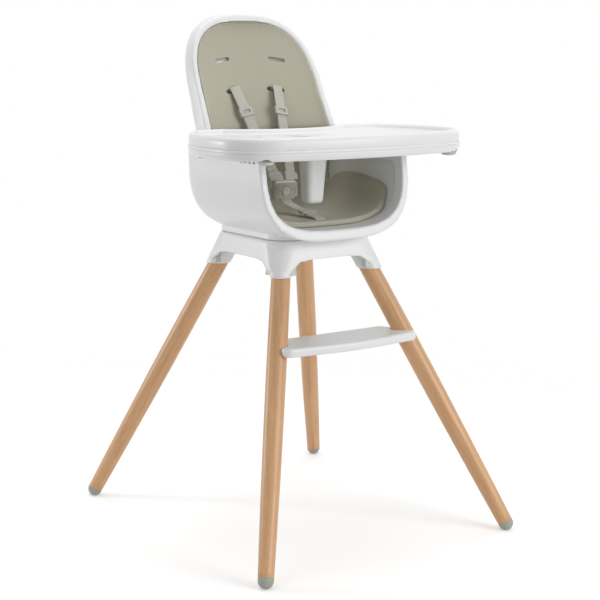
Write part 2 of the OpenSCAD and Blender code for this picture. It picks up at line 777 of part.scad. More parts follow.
// Side view of the foam: seat, wings, waist and back
module pad_side_view() {
    wing_z = floor_z + wing_h;
    low_z = floor_z - 20;
    top_z = back_top_z + 20;
    offset(r = 12, $fn = 40) offset(delta = -12) offset(r = -8, $fn = 24) offset(delta = 8) polygon([
        [-pad_front_y, low_z], [-pad_front_y, pad_z], [-pad_front_y - 3, pad_z + 10],
        [-pad_front_y + 11, pad_z + 35], [-pad_front_y + 18, wing_z - 20], [-pad_front_y + 36, wing_z - 12],
        [-9, wing_z - 1], [45, wing_z], [68, wing_z - 5], [90, wing_z - 26],
        [rim_line(wing_z) + 78, wing_z + 6],
        [rim_line(arm_z - 20) + 36, arm_z - 20], [rim_line(arm_z + 8) + 2, arm_z + 8],
        [rim_line(top_z) + 2, top_z], [300, top_z], [300, low_z]]);
}

module seat_pad() {
    color(foam) resize([0, 0, 0]) difference() {
        intersection() {
            bed_loft(shell_wall, pad_gap);
            across_seat(250) pad_side_view();
            union() {
                translate([-250, -300, 0]) cube([500, 600, arm_z - lip_depth - 4]);
                bed_loft(rim_w, pad_gap);
            }
        }
        face_loft();
        back_slots(1);
        crotch_slot(1);
        for (s = [-1, 1]) translate([s * waist_x, tub_rear_y - 20, waist_z])
            rotate([90, 90, 0]) linear_extrude(80, center = true) stadium(strap_w + 8, slot_h);
    }
}

// ---------- harness ----------

buckle_z = pad_z + 45;
buckle_y = 30;
buckle_tilt = 14;
strap_low = [18, buckle_y + 3, buckle_z + buckle_h / 2 + 8];
adjuster_along = 138;  // distance of the shoulder adjusters up their straps
adjuster_share = 0.57; // place of the crotch adjuster on its strap's straight part
anchor_t = 4;
anchor_depth = 21.6;   // distance from the pad's surface to the anchors behind the shell
slot_out = 7;          // how far in front of its slot a shoulder strap bends
function low_slot(side) = [side * slot_low_x, slot_y(slot_low_x, arm_z + slot_low_h), arm_z + slot_low_h];
through = [0, cos(back_lean), -sin(back_lean)];
function strap_foot(side) = [side * strap_low[0], strap_low[1], strap_low[2]];
function strap_top(side) = low_slot(side) - through * slot_out;
function strap_dir(side) = unit(strap_top(side) - strap_foot(side));
function strap_across(side) = unit([strap_dir(side)[2], 0, -strap_dir(side)[0]]);

// The frame of a shoulder strap: local z up the strap, local x across it
module on_strap(side, along) {
    d = strap_dir(side);
    translate(strap_foot(side) + d * along) rotate([-asin(d[1]), atan2(d[0], d[2]), 0]) children();
}

module shoulder_strap(side) {
    top = strap_top(side);
    color(webbing) ribbon([
        strap_foot(side), mix(strap_foot(side), top, 0.5), top - strap_dir(side) * 4,
        top + through * 3 + [0, 0, 1], low_slot(side) + through * 6,
        low_slot(side) + through * (anchor_depth + anchor_t + 3)],
        strap_across(side), strap_w, strap_t);
}

// Flat plastic bars that hold the shoulder straps behind the shell
module shoulder_anchors() {
    for (side = [-1, 1]) color(grey) at_slot(side, slot_low_x, arm_z + slot_low_h)
        translate([0, 0, anchor_depth]) linear_extrude(anchor_t) difference() {
            stadium(slot_len + 8, slot_h + 9);
            square([strap_w + 1, strap_t + 2], center = true);
        }
}

module adjuster_body(w, h) {
    difference() {
        linear_extrude(h, center = true) offset(r = 1.5, $fn = 16) square([w + 4, strap_t + 2.4], center = true);
        cube([w + 1, strap_t + 1, h + 2], center = true);
        translate([0, -3, 0]) cube([w - 5, 6, h - 9], center = true);
    }
}

module shoulder_adjuster(side) {
    color(grey) on_strap(side, adjuster_along) adjuster_body(strap_w, adjuster_h);
}

module tongue(side) {
    color(grey) difference() {
        on_strap(side, 0) difference() {
            translate([0, 0, -3]) cube([strap_w + 7, strap_t + 2.8, 18], center = true);
            translate([0, 0, 2]) cube([strap_w + 1, strap_t + 0.8, 11], center = true);
        }
        in_buckle() translate([0, 0, -20 + gap]) cube([100, 100, buckle_h + 40], center = true);
    }
}

module in_buckle() {
    translate([0, buckle_y, buckle_z]) rotate([buckle_tilt, 0, 0]) children();
}

module buckle_housing() {
    r = 7;
    color(grey) in_buckle() difference() {
        hull() {
            for (s = [-1, 1], e = [-1, 1]) translate([s * (buckle_w / 2 - r), 0, e * (buckle_h / 2 - r)])
                rotate([90, 0, 0]) cylinder(h = buckle_d - 4, r = r, center = true, $fn = 32);
            for (s = [-1, 1], e = [-1, 1]) translate([s * (buckle_w / 2 - r), 0, e * (buckle_h / 2 - r)])
                rotate([90, 0, 0]) cylinder(h = buckle_d, r = r - 2, center = true, $fn = 32);
        }
        translate([0, -buckle_d / 2 - 1, 0]) rotate([-90, 0, 0]) cylinder(h = 8, d = button_d + 0.6);
    }
}

module buckle_button() {
    color(webbing) in_buckle() translate([0, -buckle_d / 2 - 1, 0]) rotate([-90, 0, 0]) {
        cylinder(h = 1, d1 = button_d - 2, d2 = button_d);
        translate([0, 0, 1 - eps]) cylinder(h = 7 - button_travel - gap, d = button_d);
    }
}

module waist_strap(side) {
    color(webbing) ribbon([
        [side * (buckle_w / 2 + gap), buckle_y + 2, buckle_z - 4], [side * 34, buckle_y + 6, buckle_z - 6],
        [side * 52, 72, waist_z - 10], [side * 72, 104, waist_z - 3], [side * waist_x, 122, waist_z],
        [side * waist_x, waist_end_y - 3 - gap, waist_z]],
        [0, 0, 1], strap_w, strap_t);
}

module waist_anchors() {
    for (side = [-1, 1]) color(grey) translate([side * waist_x, waist_end_y - 1.5, waist_z])
        cube([5, 3, strap_w + 3], center = true);
}

// The straight part of the crotch strap, which its adjuster slides along
function crotch_run(t) = [0, mix(buckle_y - 42, crotch_y + 20, t), pad_z + mix(15, 5, t)];

module crotch_strap() {
    color(webbing) ribbon([
        [0, buckle_y - 6, buckle_z - buckle_h / 2 - 0.5], [0, buckle_y - 16, pad_z + 20],
        crotch_run(0), crotch_run(1), [0, crotch_y + 3, pad_z + 1],
        [0, crotch_y, pad_z - 5], [0, crotch_y, tub_bottom_z + anchor_bed]],
        [1, 0, 0], strap_w, strap_t);
}

module crotch_anchor() {
    color(steel) translate([0, crotch_y, tub_bottom_z + anchor_bed - 1.8])
        cube([strap_w + 7, 8, 3], center = true);
}

module crotch_adjuster() {
    run = crotch_run(1) - crotch_run(0);
    color(grey) translate(crotch_run(adjuster_share)) rotate([90 + atan2(-run[2], -run[1]), 0, 0])
        adjuster_body(strap_w, adjuster_h);
}

// ---------- tray ----------

tray_side_c = [tray_half_w - tray_side_r, -tray_wide_y];
tray_edge_c = [0, tray_edge_r - tray_front_y];

// Centre of a circle whose distances from points a and b are ra and rb, right of the line from a to b
function meeting(a, ra, b, rb) = let (
    d = norm(b - a), u = (b - a) / d,
    along = (ra * ra - rb * rb + d * d) / (2 * d), off = sqrt(ra * ra - along * along))
    a + along * u + off * [u[1], -u[0]];

function angle_to(from, to) = atan2(to[1] - from[1], to[0] - from[0]);

// Plan of the tray at a distance inside its widest outline
function tray_plan(inset) = let (
    front_c = meeting(tray_side_c, tray_side_r - tray_front_r, tray_edge_c, tray_edge_r - tray_front_r),
    rear_y = tray_rear_y - tray_rear_r,
    rear_c = [tray_side_c[0] + sqrt(pow(tray_side_r - tray_rear_r, 2) - pow(rear_y + tray_wide_y, 2)), rear_y],
    a0 = angle_to(tray_edge_c, front_c),
    a1 = angle_to(tray_side_c, front_c),
    a2 = angle_to(tray_side_c, rear_c),
    cut_c = [0, cutout_r - cutout_y],
    nose_r = 20,
    nose_y = tray_rear_y - nose_r,
    nose_c = [sqrt(pow(cutout_r + nose_r, 2) - pow(nose_y - cut_c[1], 2)), nose_y],
    a3 = atan2(cut_c[1] - nose_c[1], -nose_c[0]),
    half = concat(
        arc(tray_edge_c, tray_edge_r - inset, mix(-90, a0, 0.12), mix(-90, a0, 0.85), 3),
        arc(front_c, tray_front_r - inset, a0, a1, 8),
        arc(tray_side_c, tray_side_r - inset, a1 + 2, a2 - 2, 6),
        arc(rear_c, tray_rear_r - inset, a2, 90, 6),
        arc(nose_c, nose_r - inset, 90, a3, 4),
        arc(cut_c, cutout_r + inset, a3 - 180 - 3, -86, 5)))
    concat(half, [for (i = [len(half) - 1 : -1 : 0]) [-half[i][0], half[i][1]]]);

// Rings of a tray moulding from a list of [height, inset]
function tray_rings(profile) = [for (p = profile) [for (q = tray_plan(p[1])) [q[0], q[1], p[0]]]];

rail_in_x = tub_half_w - rim_w;
rail_len = front_y + 11;

module rail(side) {
    x0 = rail_in_x - gap - rail_t;
    x1 = tub_half_w + gap + rail_t;
    y0 = -rail_len;
    len = rail_len + 30;
    translate([side > 0 ? x0 : -x1, y0, arm_z]) cube([x1 - x0, len, parting_z - tray_wall - arm_z + eps]);
    for (x = [x0, x1 - rail_t]) translate([side > 0 ? x : -x - rail_t, y0, arm_z - rail_depth])
        cube([rail_t, len, rail_depth + eps]);
}

post_y = post_d / 2 - post_front_y;
post_screw_y = [post_y - 9, post_y + 9];
cup_x = -83;
cup_y = -98;
release_x = 201;
release_y = -213;
stem_d = 10;

module tray_base() {
    b = tray_bottom_z;
    color(white) difference() {
        union() {
            resize([0, 0, 0]) difference() {
                loft(tray_rings([[b, 5.5], [b + 2.5, 3], [b + 8, 0.9], [parting_z - 0.8, 0], [parting_z, 0.8]]));
                loft(tray_rings([[b - 1, tray_wall + 5.5], [b + 2.5, tray_wall + 3],
                    [parting_z - tray_wall, tray_wall + 1]]));
            }
            for (side = [-1, 1]) rail(side);
            for (side = [-1, 1]) translate([side * release_x, release_y, parting_z - 12])
                cylinder(h = 12 - tray_wall + eps, d = stem_d + 8);
            for (y = post_screw_y) translate([0, y, parting_z - tray_wall - 6]) cylinder(h = 6 + eps, d = 9);
        }
        for (side = [-1, 1]) translate([side * (rail_in_x - gap) - (side < 0 ? rim_w + 2 * gap : 0), 20, b - 5])
            cube([rim_w + 2 * gap, 40, arm_z - b + 5 + 1]);
        for (side = [-1, 1]) translate([side * release_x, release_y, 0]) {
            translate([0, 0, b - 10]) cylinder(h = 10 + release_travel + 1, d = release_d + 1);
            translate([0, 0, b - 10]) cylinder(h = 60, d = stem_d + 2 * fit);
        }
        for (y = post_screw_y) translate([0, y, b]) cylinder(h = 60, d = 4 + 2 * fit);
    }
}

module tray_insert() {
    p = parting_z;
    t = tray_top_z;
    f = t - insert_floor;
    color(white) difference() {
        resize([0, 0, 0]) difference() {
            loft(tray_rings([[p, 0.8], [p + 0.8, 0], [t - 9, 0.6], [t - 4.5, 2.8], [t - 1.6, 6], [t, 10.5]]));
            loft(tray_rings([[f, 23], [f + 1.5, 19.5], [t - 1.8, 14.5], [t + 1, 12]]));
            loft(tray_rings([[p - 1, tray_wall], [f - tray_wall - 1.5, tray_wall + 2],
                [f - tray_wall, tray_wall + 5]]));
        }
        translate([cup_x, cup_y, f - cup_depth]) cylinder(h = 40, d = cup_d, $fn = 72);
    }
}

module post_section(w, d, r) {
    offset(r = r, $fn = 40) square([w - 2 * r, d - 2 * r], center = true);
}

module crotch_post() {
    top_z = parting_z - tray_wall - 6;
    low_z = pad_z + post_gap;
    color(white) difference() {
        hull() {
            translate([0, post_y, top_z - 1]) linear_extrude(1) post_section(post_w, post_d, 12);
            translate([0, post_y + 2, low_z + 6]) linear_extrude(1) post_section(post_low_w, post_d - 15, 11);
            translate([0, post_y + 2, low_z + 1.5]) linear_extrude(1) post_section(post_low_w - 5, post_d - 20, 8);
            translate([0, post_y + 2, low_z]) linear_extrude(1) post_section(post_low_w - 12, post_d - 27, 4);
        }
        for (y = post_screw_y) translate([0, y, top_z - 16]) cylinder(h = 20, d = 4 + 2 * fit);
    }
}

module post_screws() {
    for (y = post_screw_y) color(steel) translate([0, y, parting_z]) {
        translate([0, 0, -22]) cylinder(h = 22 + eps, d = 4);
        cylinder(h = 2, d = 7.5);
    }
}

module release_button(side) {
    z = tray_bottom_z - 0.4;
    color(grey) translate([side * release_x, release_y, z]) {
        rotate_extrude($fn = 64) polygon(concat([[0, -6.3], [6, -6.3]],
            arc([release_d / 2 - 6, 0], 6, -80, 0, 6), [[0, 0]]));
        translate([0, 0, -eps]) cylinder(h = base_h - tray_wall - release_travel, d = stem_d);
    }
}

module leg_front_left() front_leg(-1);
module leg_front_right() front_leg(1);
module leg_rear_left() leg(CORNERS[2]);
module leg_rear_right() leg(CORNERS[3]);
module foot_front_left() foot(CORNERS[0]);
module foot_front_right() foot(CORNERS[1]);
module foot_rear_left() foot(CORNERS[2]);
module foot_rear_right() foot(CORNERS[3]);

hub_shell();
hub_cover();
hub_cover_screws();
leg_front_left();
leg_front_right();
leg_rear_left();
leg_rear_right();
leg_screws();
foot_front_left();
foot_front_right();
foot_rear_left();
foot_rear_right();
footrest();
footrest_screws();
glide_ring();
swivel_plate();
swivel_washer();
swivel_bolt();
plate_screws();
seat_shell();
seat_pad();
shoulder_strap(-1);  // shoulder_strap_left
shoulder_strap(1);  // shoulder_strap_right
shoulder_anchors();
shoulder_adjuster(-1);  // shoulder_adjuster_left
shoulder_adjuster(1);  // shoulder_adjuster_right
waist_strap(-1);  // waist_strap_left
waist_strap(1);  // waist_strap_right
waist_anchors();
crotch_strap();
crotch_anchor();
crotch_adjuster();
tongue(-1);  // tongue_left
tongue(1);  // tongue_right
buckle_housing();
buckle_button();
tray_base();
tray_insert();
crotch_post();
post_screws();
release_button(-1);  // release_button_left
release_button(1);  // release_button_right
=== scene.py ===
import json
import math
import bpy
import bmesh
import numpy as np
from mathutils import Matrix, Vector


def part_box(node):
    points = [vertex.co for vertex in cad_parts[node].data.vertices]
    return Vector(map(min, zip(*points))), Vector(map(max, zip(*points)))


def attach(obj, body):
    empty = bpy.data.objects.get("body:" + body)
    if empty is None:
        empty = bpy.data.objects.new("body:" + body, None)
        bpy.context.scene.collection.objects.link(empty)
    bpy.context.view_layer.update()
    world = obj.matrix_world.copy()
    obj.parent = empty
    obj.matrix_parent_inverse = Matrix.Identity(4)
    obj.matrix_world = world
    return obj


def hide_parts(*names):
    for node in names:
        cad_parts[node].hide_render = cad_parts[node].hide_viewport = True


# A baby high chair on four beech legs. Front is -Y, right is +X, up is +Z, in metres.
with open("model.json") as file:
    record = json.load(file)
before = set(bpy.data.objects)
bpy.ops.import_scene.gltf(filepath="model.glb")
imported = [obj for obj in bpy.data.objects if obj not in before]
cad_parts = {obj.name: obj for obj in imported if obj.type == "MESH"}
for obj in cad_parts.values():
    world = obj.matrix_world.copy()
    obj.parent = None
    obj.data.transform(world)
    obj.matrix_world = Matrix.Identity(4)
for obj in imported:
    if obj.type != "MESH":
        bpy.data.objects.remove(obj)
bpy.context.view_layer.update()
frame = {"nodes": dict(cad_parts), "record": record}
nodes = frame["nodes"]
print("frame loaded:", len(nodes), "nodes")

cameraSetup = {
    "azimuth": -34.303,
    "elevation": 10.361,
    "distance": 2.8591,
    "targetZ": 0.4084,
    "lens": 89.62,
    "shiftX": 0.0118,
    "shiftY": 0.0113,
}

lampSetup = {
    "overhead": {"place": (0.2, 0.4, 2.8), "aim": (0, 0, 0.5), "size": 2.4, "power": 34},
    "leftWindow": {"place": (-2.4, -0.7, 1.3), "aim": (0, 0, 0.5), "size": 1.4, "power": 5},
    "rearLeft": {"place": (-2.0, 1.8, 0.8), "aim": (0, 0, 0.3), "size": 0.5, "power": 18},
    "frontRight": {"place": (1.2, -2.8, 1.2), "aim": (0, 0, 0.5), "size": 1.6, "power": 44},
}

floorSetup = {
    "size": 6,
    "paint": 0.9,
    "glow": 0.3,
    "fadeStart": 0.75,
    "fadeEnd": 1.5,
    "worldLight": 0.34,
}


def aimed(place, aim):
    return (Vector(place) - Vector(aim)).to_track_quat("Z", "Y").to_euler()


def makeCamera(setup):
    azimuth = math.radians(setup["azimuth"])
    elevation = math.radians(setup["elevation"])
    back = Vector((
        math.sin(azimuth) * math.cos(elevation),
        -math.cos(azimuth) * math.cos(elevation),
        math.sin(elevation)))
    camera = bpy.data.objects.new("camera", bpy.data.cameras.new("camera"))
    bpy.context.scene.collection.objects.link(camera)
    camera.location = Vector((0, 0, setup["targetZ"])) + back * setup["distance"]
    camera.rotation_euler = back.to_track_quat("Z", "Y").to_euler()
    camera.data.lens = setup["lens"]
    camera.data.sensor_width = 36
    camera.data.shift_x = setup["shiftX"]
    camera.data.shift_y = setup["shiftY"]
    bpy.context.scene.camera = camera


def makeLamps(lamps):
    for name, lamp in lamps.items():
        data = bpy.data.lights.new(name, "AREA")
        data.shape = "SQUARE"
        data.size = lamp["size"]
        data.energy = lamp["power"]
        light = bpy.data.objects.new(name, data)
        bpy.context.scene.collection.objects.link(light)
        light.location = lamp["place"]
        light.rotation_euler = aimed(lamp["place"], lamp["aim"])


# Shader trees: addNode makes a node, sets its properties and its input values, and returns it.
def addNode(tree, kind, inputs=None, **properties):
    node = tree.nodes.new(kind)
    for key, value in properties.items():
        setattr(node, key, value)
    for key, value in (inputs or {}).items():
        if isinstance(value, bpy.types.NodeSocket):
            tree.links.new(value, node.inputs[key])
        else:
            node.inputs[key].default_value = value
    return node


def math2(tree, operation, a, b):
    return addNode(tree, "ShaderNodeMath", {0: a, 1: b}, operation=operation).outputs[0]


def rgba(colour, factor=1.0):
    return (colour[0] * factor, colour[1] * factor, colour[2] * factor, 1)


def newMaterial(name):
    material = bpy.data.materials.new(name)
    material.use_nodes = True
    tree = material.node_tree
    tree.nodes.clear()
    return material, tree, addNode(tree, "ShaderNodeOutputMaterial")


def seenByEye(tree):
    # 1 for camera, glossy and transmission rays
    path = addNode(tree, "ShaderNodeLightPath").outputs
    seen = math2(tree, "MAXIMUM", path["Is Camera Ray"], path["Is Glossy Ray"])
    return math2(tree, "MAXIMUM", seen, path["Is Transmission Ray"])


def makeWorld(strength):
    world = bpy.data.worlds.new("studio")
    bpy.context.scene.world = world
    world.use_nodes = True
    tree = world.node_tree
    tree.nodes.clear()
    output = addNode(tree, "ShaderNodeOutputWorld")
    dim = addNode(tree, "ShaderNodeBackground", {"Color": (1, 1, 1, 1), "Strength": strength})
    white = addNode(tree, "ShaderNodeBackground", {"Color": (1, 1, 1, 1), "Strength": 1})
    mix = addNode(tree, "ShaderNodeMixShader", {
        0: seenByEye(tree), 1: dim.outputs[0], 2: white.outputs[0]})
    tree.links.new(mix.outputs[0], output.inputs["Surface"])


def makeFloor(setup):
    # The floor keeps the chair's shadow and gives way to the white world further out
    size = setup["size"]
    corners = [(-size, -size, 0), (size, -size, 0), (size, size, 0), (-size, size, 0)]
    mesh = bpy.data.meshes.new("floor")
    mesh.from_pydata(corners, [], [(0, 1, 2, 3)])
    floor = bpy.data.objects.new("floor", mesh)
    bpy.context.scene.collection.objects.link(floor)
    material, tree, output = newMaterial("floorWhite")
    paint = addNode(tree, "ShaderNodeBsdfPrincipled", {
        "Base Color": rgba([setup["paint"]] * 3), "Roughness": 0.9, "Specular IOR Level": 0.1})
    glowing = math2(tree, "MULTIPLY", seenByEye(tree), setup["glow"])
    glow = addNode(tree, "ShaderNodeEmission", {"Strength": glowing})
    lit = addNode(tree, "ShaderNodeAddShader", {0: paint.outputs[0], 1: glow.outputs[0]})
    place = addNode(tree, "ShaderNodeTexCoord").outputs["Object"]
    away = addNode(tree, "ShaderNodeVectorMath", {0: place}, operation="LENGTH").outputs["Value"]
    fade = addNode(tree, "ShaderNodeMapRange", {
        "Value": away, "From Min": setup["fadeStart"], "From Max": setup["fadeEnd"]},
        interpolation_type="SMOOTHSTEP").outputs[0]
    clear = addNode(tree, "ShaderNodeBsdfTransparent")
    mix = addNode(tree, "ShaderNodeMixShader", {0: fade, 1: lit.outputs[0], 2: clear.outputs[0]})
    tree.links.new(mix.outputs[0], output.inputs["Surface"])
    mesh.materials.append(material)


makeCamera(cameraSetup)
makeLamps(lampSetup)
makeWorld(floorSetup["worldLight"])
makeFloor(floorSetup)
bpy.context.scene.view_settings.view_transform = "Standard"
print("camera, lamps and floor made")


# A bump from fine noise in the piece's own coordinates, shared by the moulded and foam materials
def makeGrainGroup():
    group = bpy.data.node_groups.new("fineGrain", "ShaderNodeTree")
    for name, value in {"Scale": 900.0, "Strength": 0.1, "Distance": 0.0002}.items():
        socket = group.interface.new_socket(name, in_out="INPUT", socket_type="NodeSocketFloat")
        socket.default_value = value
    group.interface.new_socket("Normal", in_out="OUTPUT", socket_type="NodeSocketVector")
    group.interface.new_socket("Mask", in_out="OUTPUT", socket_type="NodeSocketFloat")
    entry = addNode(group, "NodeGroupInput").outputs
    place = addNode(group, "ShaderNodeTexCoord").outputs["Object"]
    noise = addNode(group, "ShaderNodeTexNoise", {
        "Vector": place, "Scale": entry["Scale"], "Detail": 3.0, "Roughness": 0.55}).outputs["Fac"]
    bump = addNode(group, "ShaderNodeBump", {
        "Height": noise, "Strength": entry["Strength"], "Distance": entry["Distance"]}).outputs[0]
    addNode(group, "NodeGroupOutput", {"Normal": bump, "Mask": noise})
    return group


grainGroup = makeGrainGroup()


def grain(tree, scale, strength, distance):
    return addNode(tree, "ShaderNodeGroup", {"Scale": scale, "Strength": strength, "Distance": distance},
                   node_tree=grainGroup).outputs


def mixColour(tree, amount, a, b):
    # A mix node has a factor at input 0 and its colours at inputs 6 and 7, output 2
    node = addNode(tree, "ShaderNodeMix", data_type="RGBA")
    for socket, value in ((node.inputs[0], amount), (node.inputs[6], a), (node.inputs[7], b)):
        if isinstance(value, bpy.types.NodeSocket):
            tree.links.new(value, socket)
        else:
            socket.default_value = value
    return node.outputs[2]


def painted(material, output, look):
    # A principled surface with these inputs, wired to the material's output
    tree = material.node_tree
    paint = addNode(tree, "ShaderNodeBsdfPrincipled", look)
    tree.links.new(paint.outputs[0], output.inputs["Surface"])
    return material


# Moulded plastic: a fine spark-eroded texture and a slight unevenness of the sheen
def plastic(name, colour, rough, texture=0.12):
    material, tree, output = newMaterial(name)
    fine = grain(tree, 1400.0, texture, 0.00012)
    broad = grain(tree, 22.0, 0.02, 0.0005)
    tone = mixColour(tree, broad["Mask"], rgba(colour, 0.985), rgba(colour, 1.01))
    sheen = addNode(tree, "ShaderNodeMapRange", {
        "Value": fine["Mask"], "To Min": rough - 0.06, "To Max": rough + 0.08}).outputs[0]
    return painted(material, output, {
        "Base Color": tone, "Roughness": sheen, "Normal": fine["Normal"], "IOR": 1.47})


# Closed-cell foam: soft grain in two sizes, with painted shade in the pores, the low points of the fine
# grain, and a slightly lighter colour on its high points
def foamMaterial(name, colour):
    material, tree, output = newMaterial(name)
    fine = grain(tree, 700.0, 0.35, 0.0004)
    broad = grain(tree, 35.0, 0.05, 0.001)
    # Painted shade: the colour follows the fine grain's height, darker where it dips and a little lighter
    # where it rises
    poreShade = mixColour(tree, fine["Mask"], rgba(colour, 0.9), rgba(colour, 1.08))
    tone = mixColour(tree, broad["Mask"], poreShade, rgba(colour))
    return painted(material, output, {
        "Base Color": tone, "Roughness": 0.72, "Normal": fine["Normal"],
        "Sheen Weight": 0.12, "Sheen Roughness": 0.5, "Specular IOR Level": 0.3})


# Beech: long faint grain and short darker flecks along the leg, read from the leg's own coordinates
beech = {
    "light": (0.66, 0.385, 0.19),
    "dark": (0.47, 0.245, 0.11),
    "grainScale": 160.0,
    "grainStretch": 0.05,
    "broadScale": 30.0,
    "fleckScale": 520.0,
    "fleckStretch": 0.22,
}


def beechMaterial(name, light, dark):
    material, tree, output = newMaterial(name)
    along = addNode(tree, "ShaderNodeAttribute", attribute_name="legPlace").outputs["Vector"]
    stretched = addNode(tree, "ShaderNodeMapping", {
        "Vector": along, "Scale": (1, 1, beech["grainStretch"])}).outputs[0]
    rings = addNode(tree, "ShaderNodeTexNoise", {
        "Vector": stretched, "Scale": beech["grainScale"], "Detail": 6.0, "Roughness": 0.6,
        "Distortion": 0.4}).outputs["Fac"]
    broad = addNode(tree, "ShaderNodeTexNoise", {
        "Vector": stretched, "Scale": beech["broadScale"], "Detail": 2.0}).outputs["Fac"]
    short = addNode(tree, "ShaderNodeMapping", {
        "Vector": along, "Scale": (1, 1, beech["fleckStretch"])}).outputs[0]
    flecks = addNode(tree, "ShaderNodeTexVoronoi", {
        "Vector": short, "Scale": beech["fleckScale"]}).outputs["Distance"]
    fleckMask = addNode(tree, "ShaderNodeMapRange", {
        "Value": flecks, "From Min": 0.12, "From Max": 0.3, "To Min": 0.4, "To Max": 0}).outputs[0]
    ringTone = addNode(tree, "ShaderNodeMapRange", {
        "Value": rings, "From Min": 0.35, "From Max": 0.7}).outputs[0]
    tone = mixColour(tree, ringTone, rgba(light), rgba(dark))
    tone = mixColour(tree, math2(tree, "MULTIPLY", broad, 0.6), tone, rgba(light, 1.08))
    tone = mixColour(tree, fleckMask, tone, rgba(dark, 0.8))
    bump = addNode(tree, "ShaderNodeBump", {"Height": rings, "Strength": 0.12, "Distance": 0.0003}).outputs[0]
    sheen = addNode(tree, "ShaderNodeMapRange", {"Value": rings, "To Min": 0.36, "To Max": 0.52}).outputs[0]
    return painted(material, output, {
        "Base Color": tone, "Roughness": sheen, "Normal": bump, "Coat Weight": 0.15, "Coat Roughness": 0.3})


# Webbing: a twill weave from the strap's own map, u along it and v across it, in metres, with painted shade
# in the weave's low lines and a painted highlight on its ridges
weave = {"halfWidth": 0.0105, "slant": 1.4, "twillTurns": 3600.0, "cordTurns": 5200.0, "depth": 0.0003}


def webbingMaterial(name, colour):
    material, tree, output = newMaterial(name)
    place = addNode(tree, "ShaderNodeSeparateXYZ", {
        0: addNode(tree, "ShaderNodeUVMap", uv_map="strapMap").outputs[0]}).outputs
    folded = math2(tree, "PINGPONG", place["Y"], weave["halfWidth"])
    slant = math2(tree, "ADD", place["X"], math2(tree, "MULTIPLY", folded, weave["slant"]))
    twill = math2(tree, "SINE", math2(tree, "MULTIPLY", slant, weave["twillTurns"]), 0.0)
    cord = math2(tree, "SINE", math2(tree, "MULTIPLY", place["Y"], weave["cordTurns"]), 0.0)
    height = math2(tree, "ADD", math2(tree, "MULTIPLY", twill, 0.6), math2(tree, "MULTIPLY", cord, 0.4))
    worn = grain(tree, 260.0, 0.1, 0.0003)
    # Painted shade and highlight: the colour follows the weave's height, darker in its low lines and lighter
    # on its ridges
    weaveShade = addNode(tree, "ShaderNodeMapRange", {
        "Value": height, "From Min": -1, "From Max": 1}).outputs[0]
    tone = mixColour(tree, weaveShade, rgba(colour, 0.8), rgba(colour, 1.15))
    tone = mixColour(tree, math2(tree, "MULTIPLY", worn["Mask"], 0.3), tone, rgba(colour, 0.9))
    bump = addNode(tree, "ShaderNodeBump", {
        "Height": height, "Strength": 0.5, "Distance": weave["depth"]}).outputs[0]
    return painted(material, output, {
        "Base Color": tone, "Roughness": 0.82, "Normal": bump,
        "Sheen Weight": 0.25, "Specular IOR Level": 0.2})


def metal(name, colour, rough):
    material, tree, output = newMaterial(name)
    fine = grain(tree, 800.0, 0.15, 0.0001)
    sheen = addNode(tree, "ShaderNodeMapRange", {
        "Value": fine["Mask"], "To Min": rough - 0.08, "To Max": rough + 0.1}).outputs[0]
    return painted(material, output, {
        "Base Color": rgba(colour), "Metallic": 1.0, "Roughness": sheen, "Normal": fine["Normal"]})


finishes = {
    "white_plastic": plastic("whitePlastic", (0.83, 0.84, 0.835), 0.34),
    "grey_plastic": plastic("greyPlastic", (0.2, 0.21, 0.2), 0.5),
    "cover_plastic": plastic("coverPlastic", (0.54, 0.585, 0.555), 0.42),
    "strap_plastic": plastic("strapPlastic", (0.5, 0.5, 0.455), 0.36),
    "button_plastic": plastic("buttonPlastic", (0.6, 0.59, 0.54), 0.36),
    "foam": foamMaterial("foam", (0.46, 0.44, 0.35)),
    "beech": beechMaterial("beech", beech["light"], beech["dark"]),
    "foot_rubber": plastic("footRubber", (0.36, 0.38, 0.32), 0.62, 0.3),
    "webbing": webbingMaterial("webbing", (0.56, 0.55, 0.49)),
    "steel": metal("steel", (0.55, 0.56, 0.58), 0.32),
}
threadMaterial = plastic("thread", (0.62, 0.61, 0.56), 0.7, 0.3)
slotOf = {row["node"]: row["material_slot"] for row in frame["record"]["subparts"]}
for name, slot in slotOf.items():
    nodes[name].data.materials.clear()
    nodes[name].data.materials.append(finishes[slot])
print("materials made:", len(finishes))


# Shared mesh tools. Lengths are in metres.
def lerp(a, b, t):
    return a + (b - a) * t


def ease(t):
    u = min(1, max(0, t))
    return u * u * (3 - 2 * u)


def bulge(t, power):
    return max(0, 1 - min(1, abs(t)) ** power) ** (1 / power)


def newObject(name, mesh):
    thing = bpy.data.objects.new(name, mesh)
    bpy.context.scene.collection.objects.link(thing)
    return thing


def meshFrom(name, points, faces):
    mesh = bpy.data.meshes.new(name)
    mesh.from_pydata([tuple(p) for p in points], [], faces)
    form = bmesh.new()
    form.from_mesh(mesh)
    bmesh.ops.remove_doubles(form, verts=form.verts, dist=1e-6)
    bmesh.ops.dissolve_degenerate(form, edges=form.edges, dist=1e-7)
    bmesh.ops.recalc_face_normals(form, faces=form.faces)
    form.to_mesh(mesh)
    form.free()
    return newObject(name, mesh)


# A closed body through a stack of rings with the same number of points
def loft(name, rings):
    count = len(rings[0])
    points = [p for ring in rings for p in ring]
    faces = [tuple(range(count)), tuple(range(len(points) - count, len(points)))]
    for low in range(0, len(points) - count, count):
        for j in range(count):
            k = (j + 1) % count
            faces.append((low + j, low + k, low + count + k, low + count + j))
    return meshFrom(name, points, faces)


def prism(name, outline, depth, matrix):
    # outline in local x and y, centred on local z
    ends = [[matrix @ Vector((x, y, z)) for x, y in outline] for z in (-depth / 2, depth / 2)]
    return loft(name, ends)


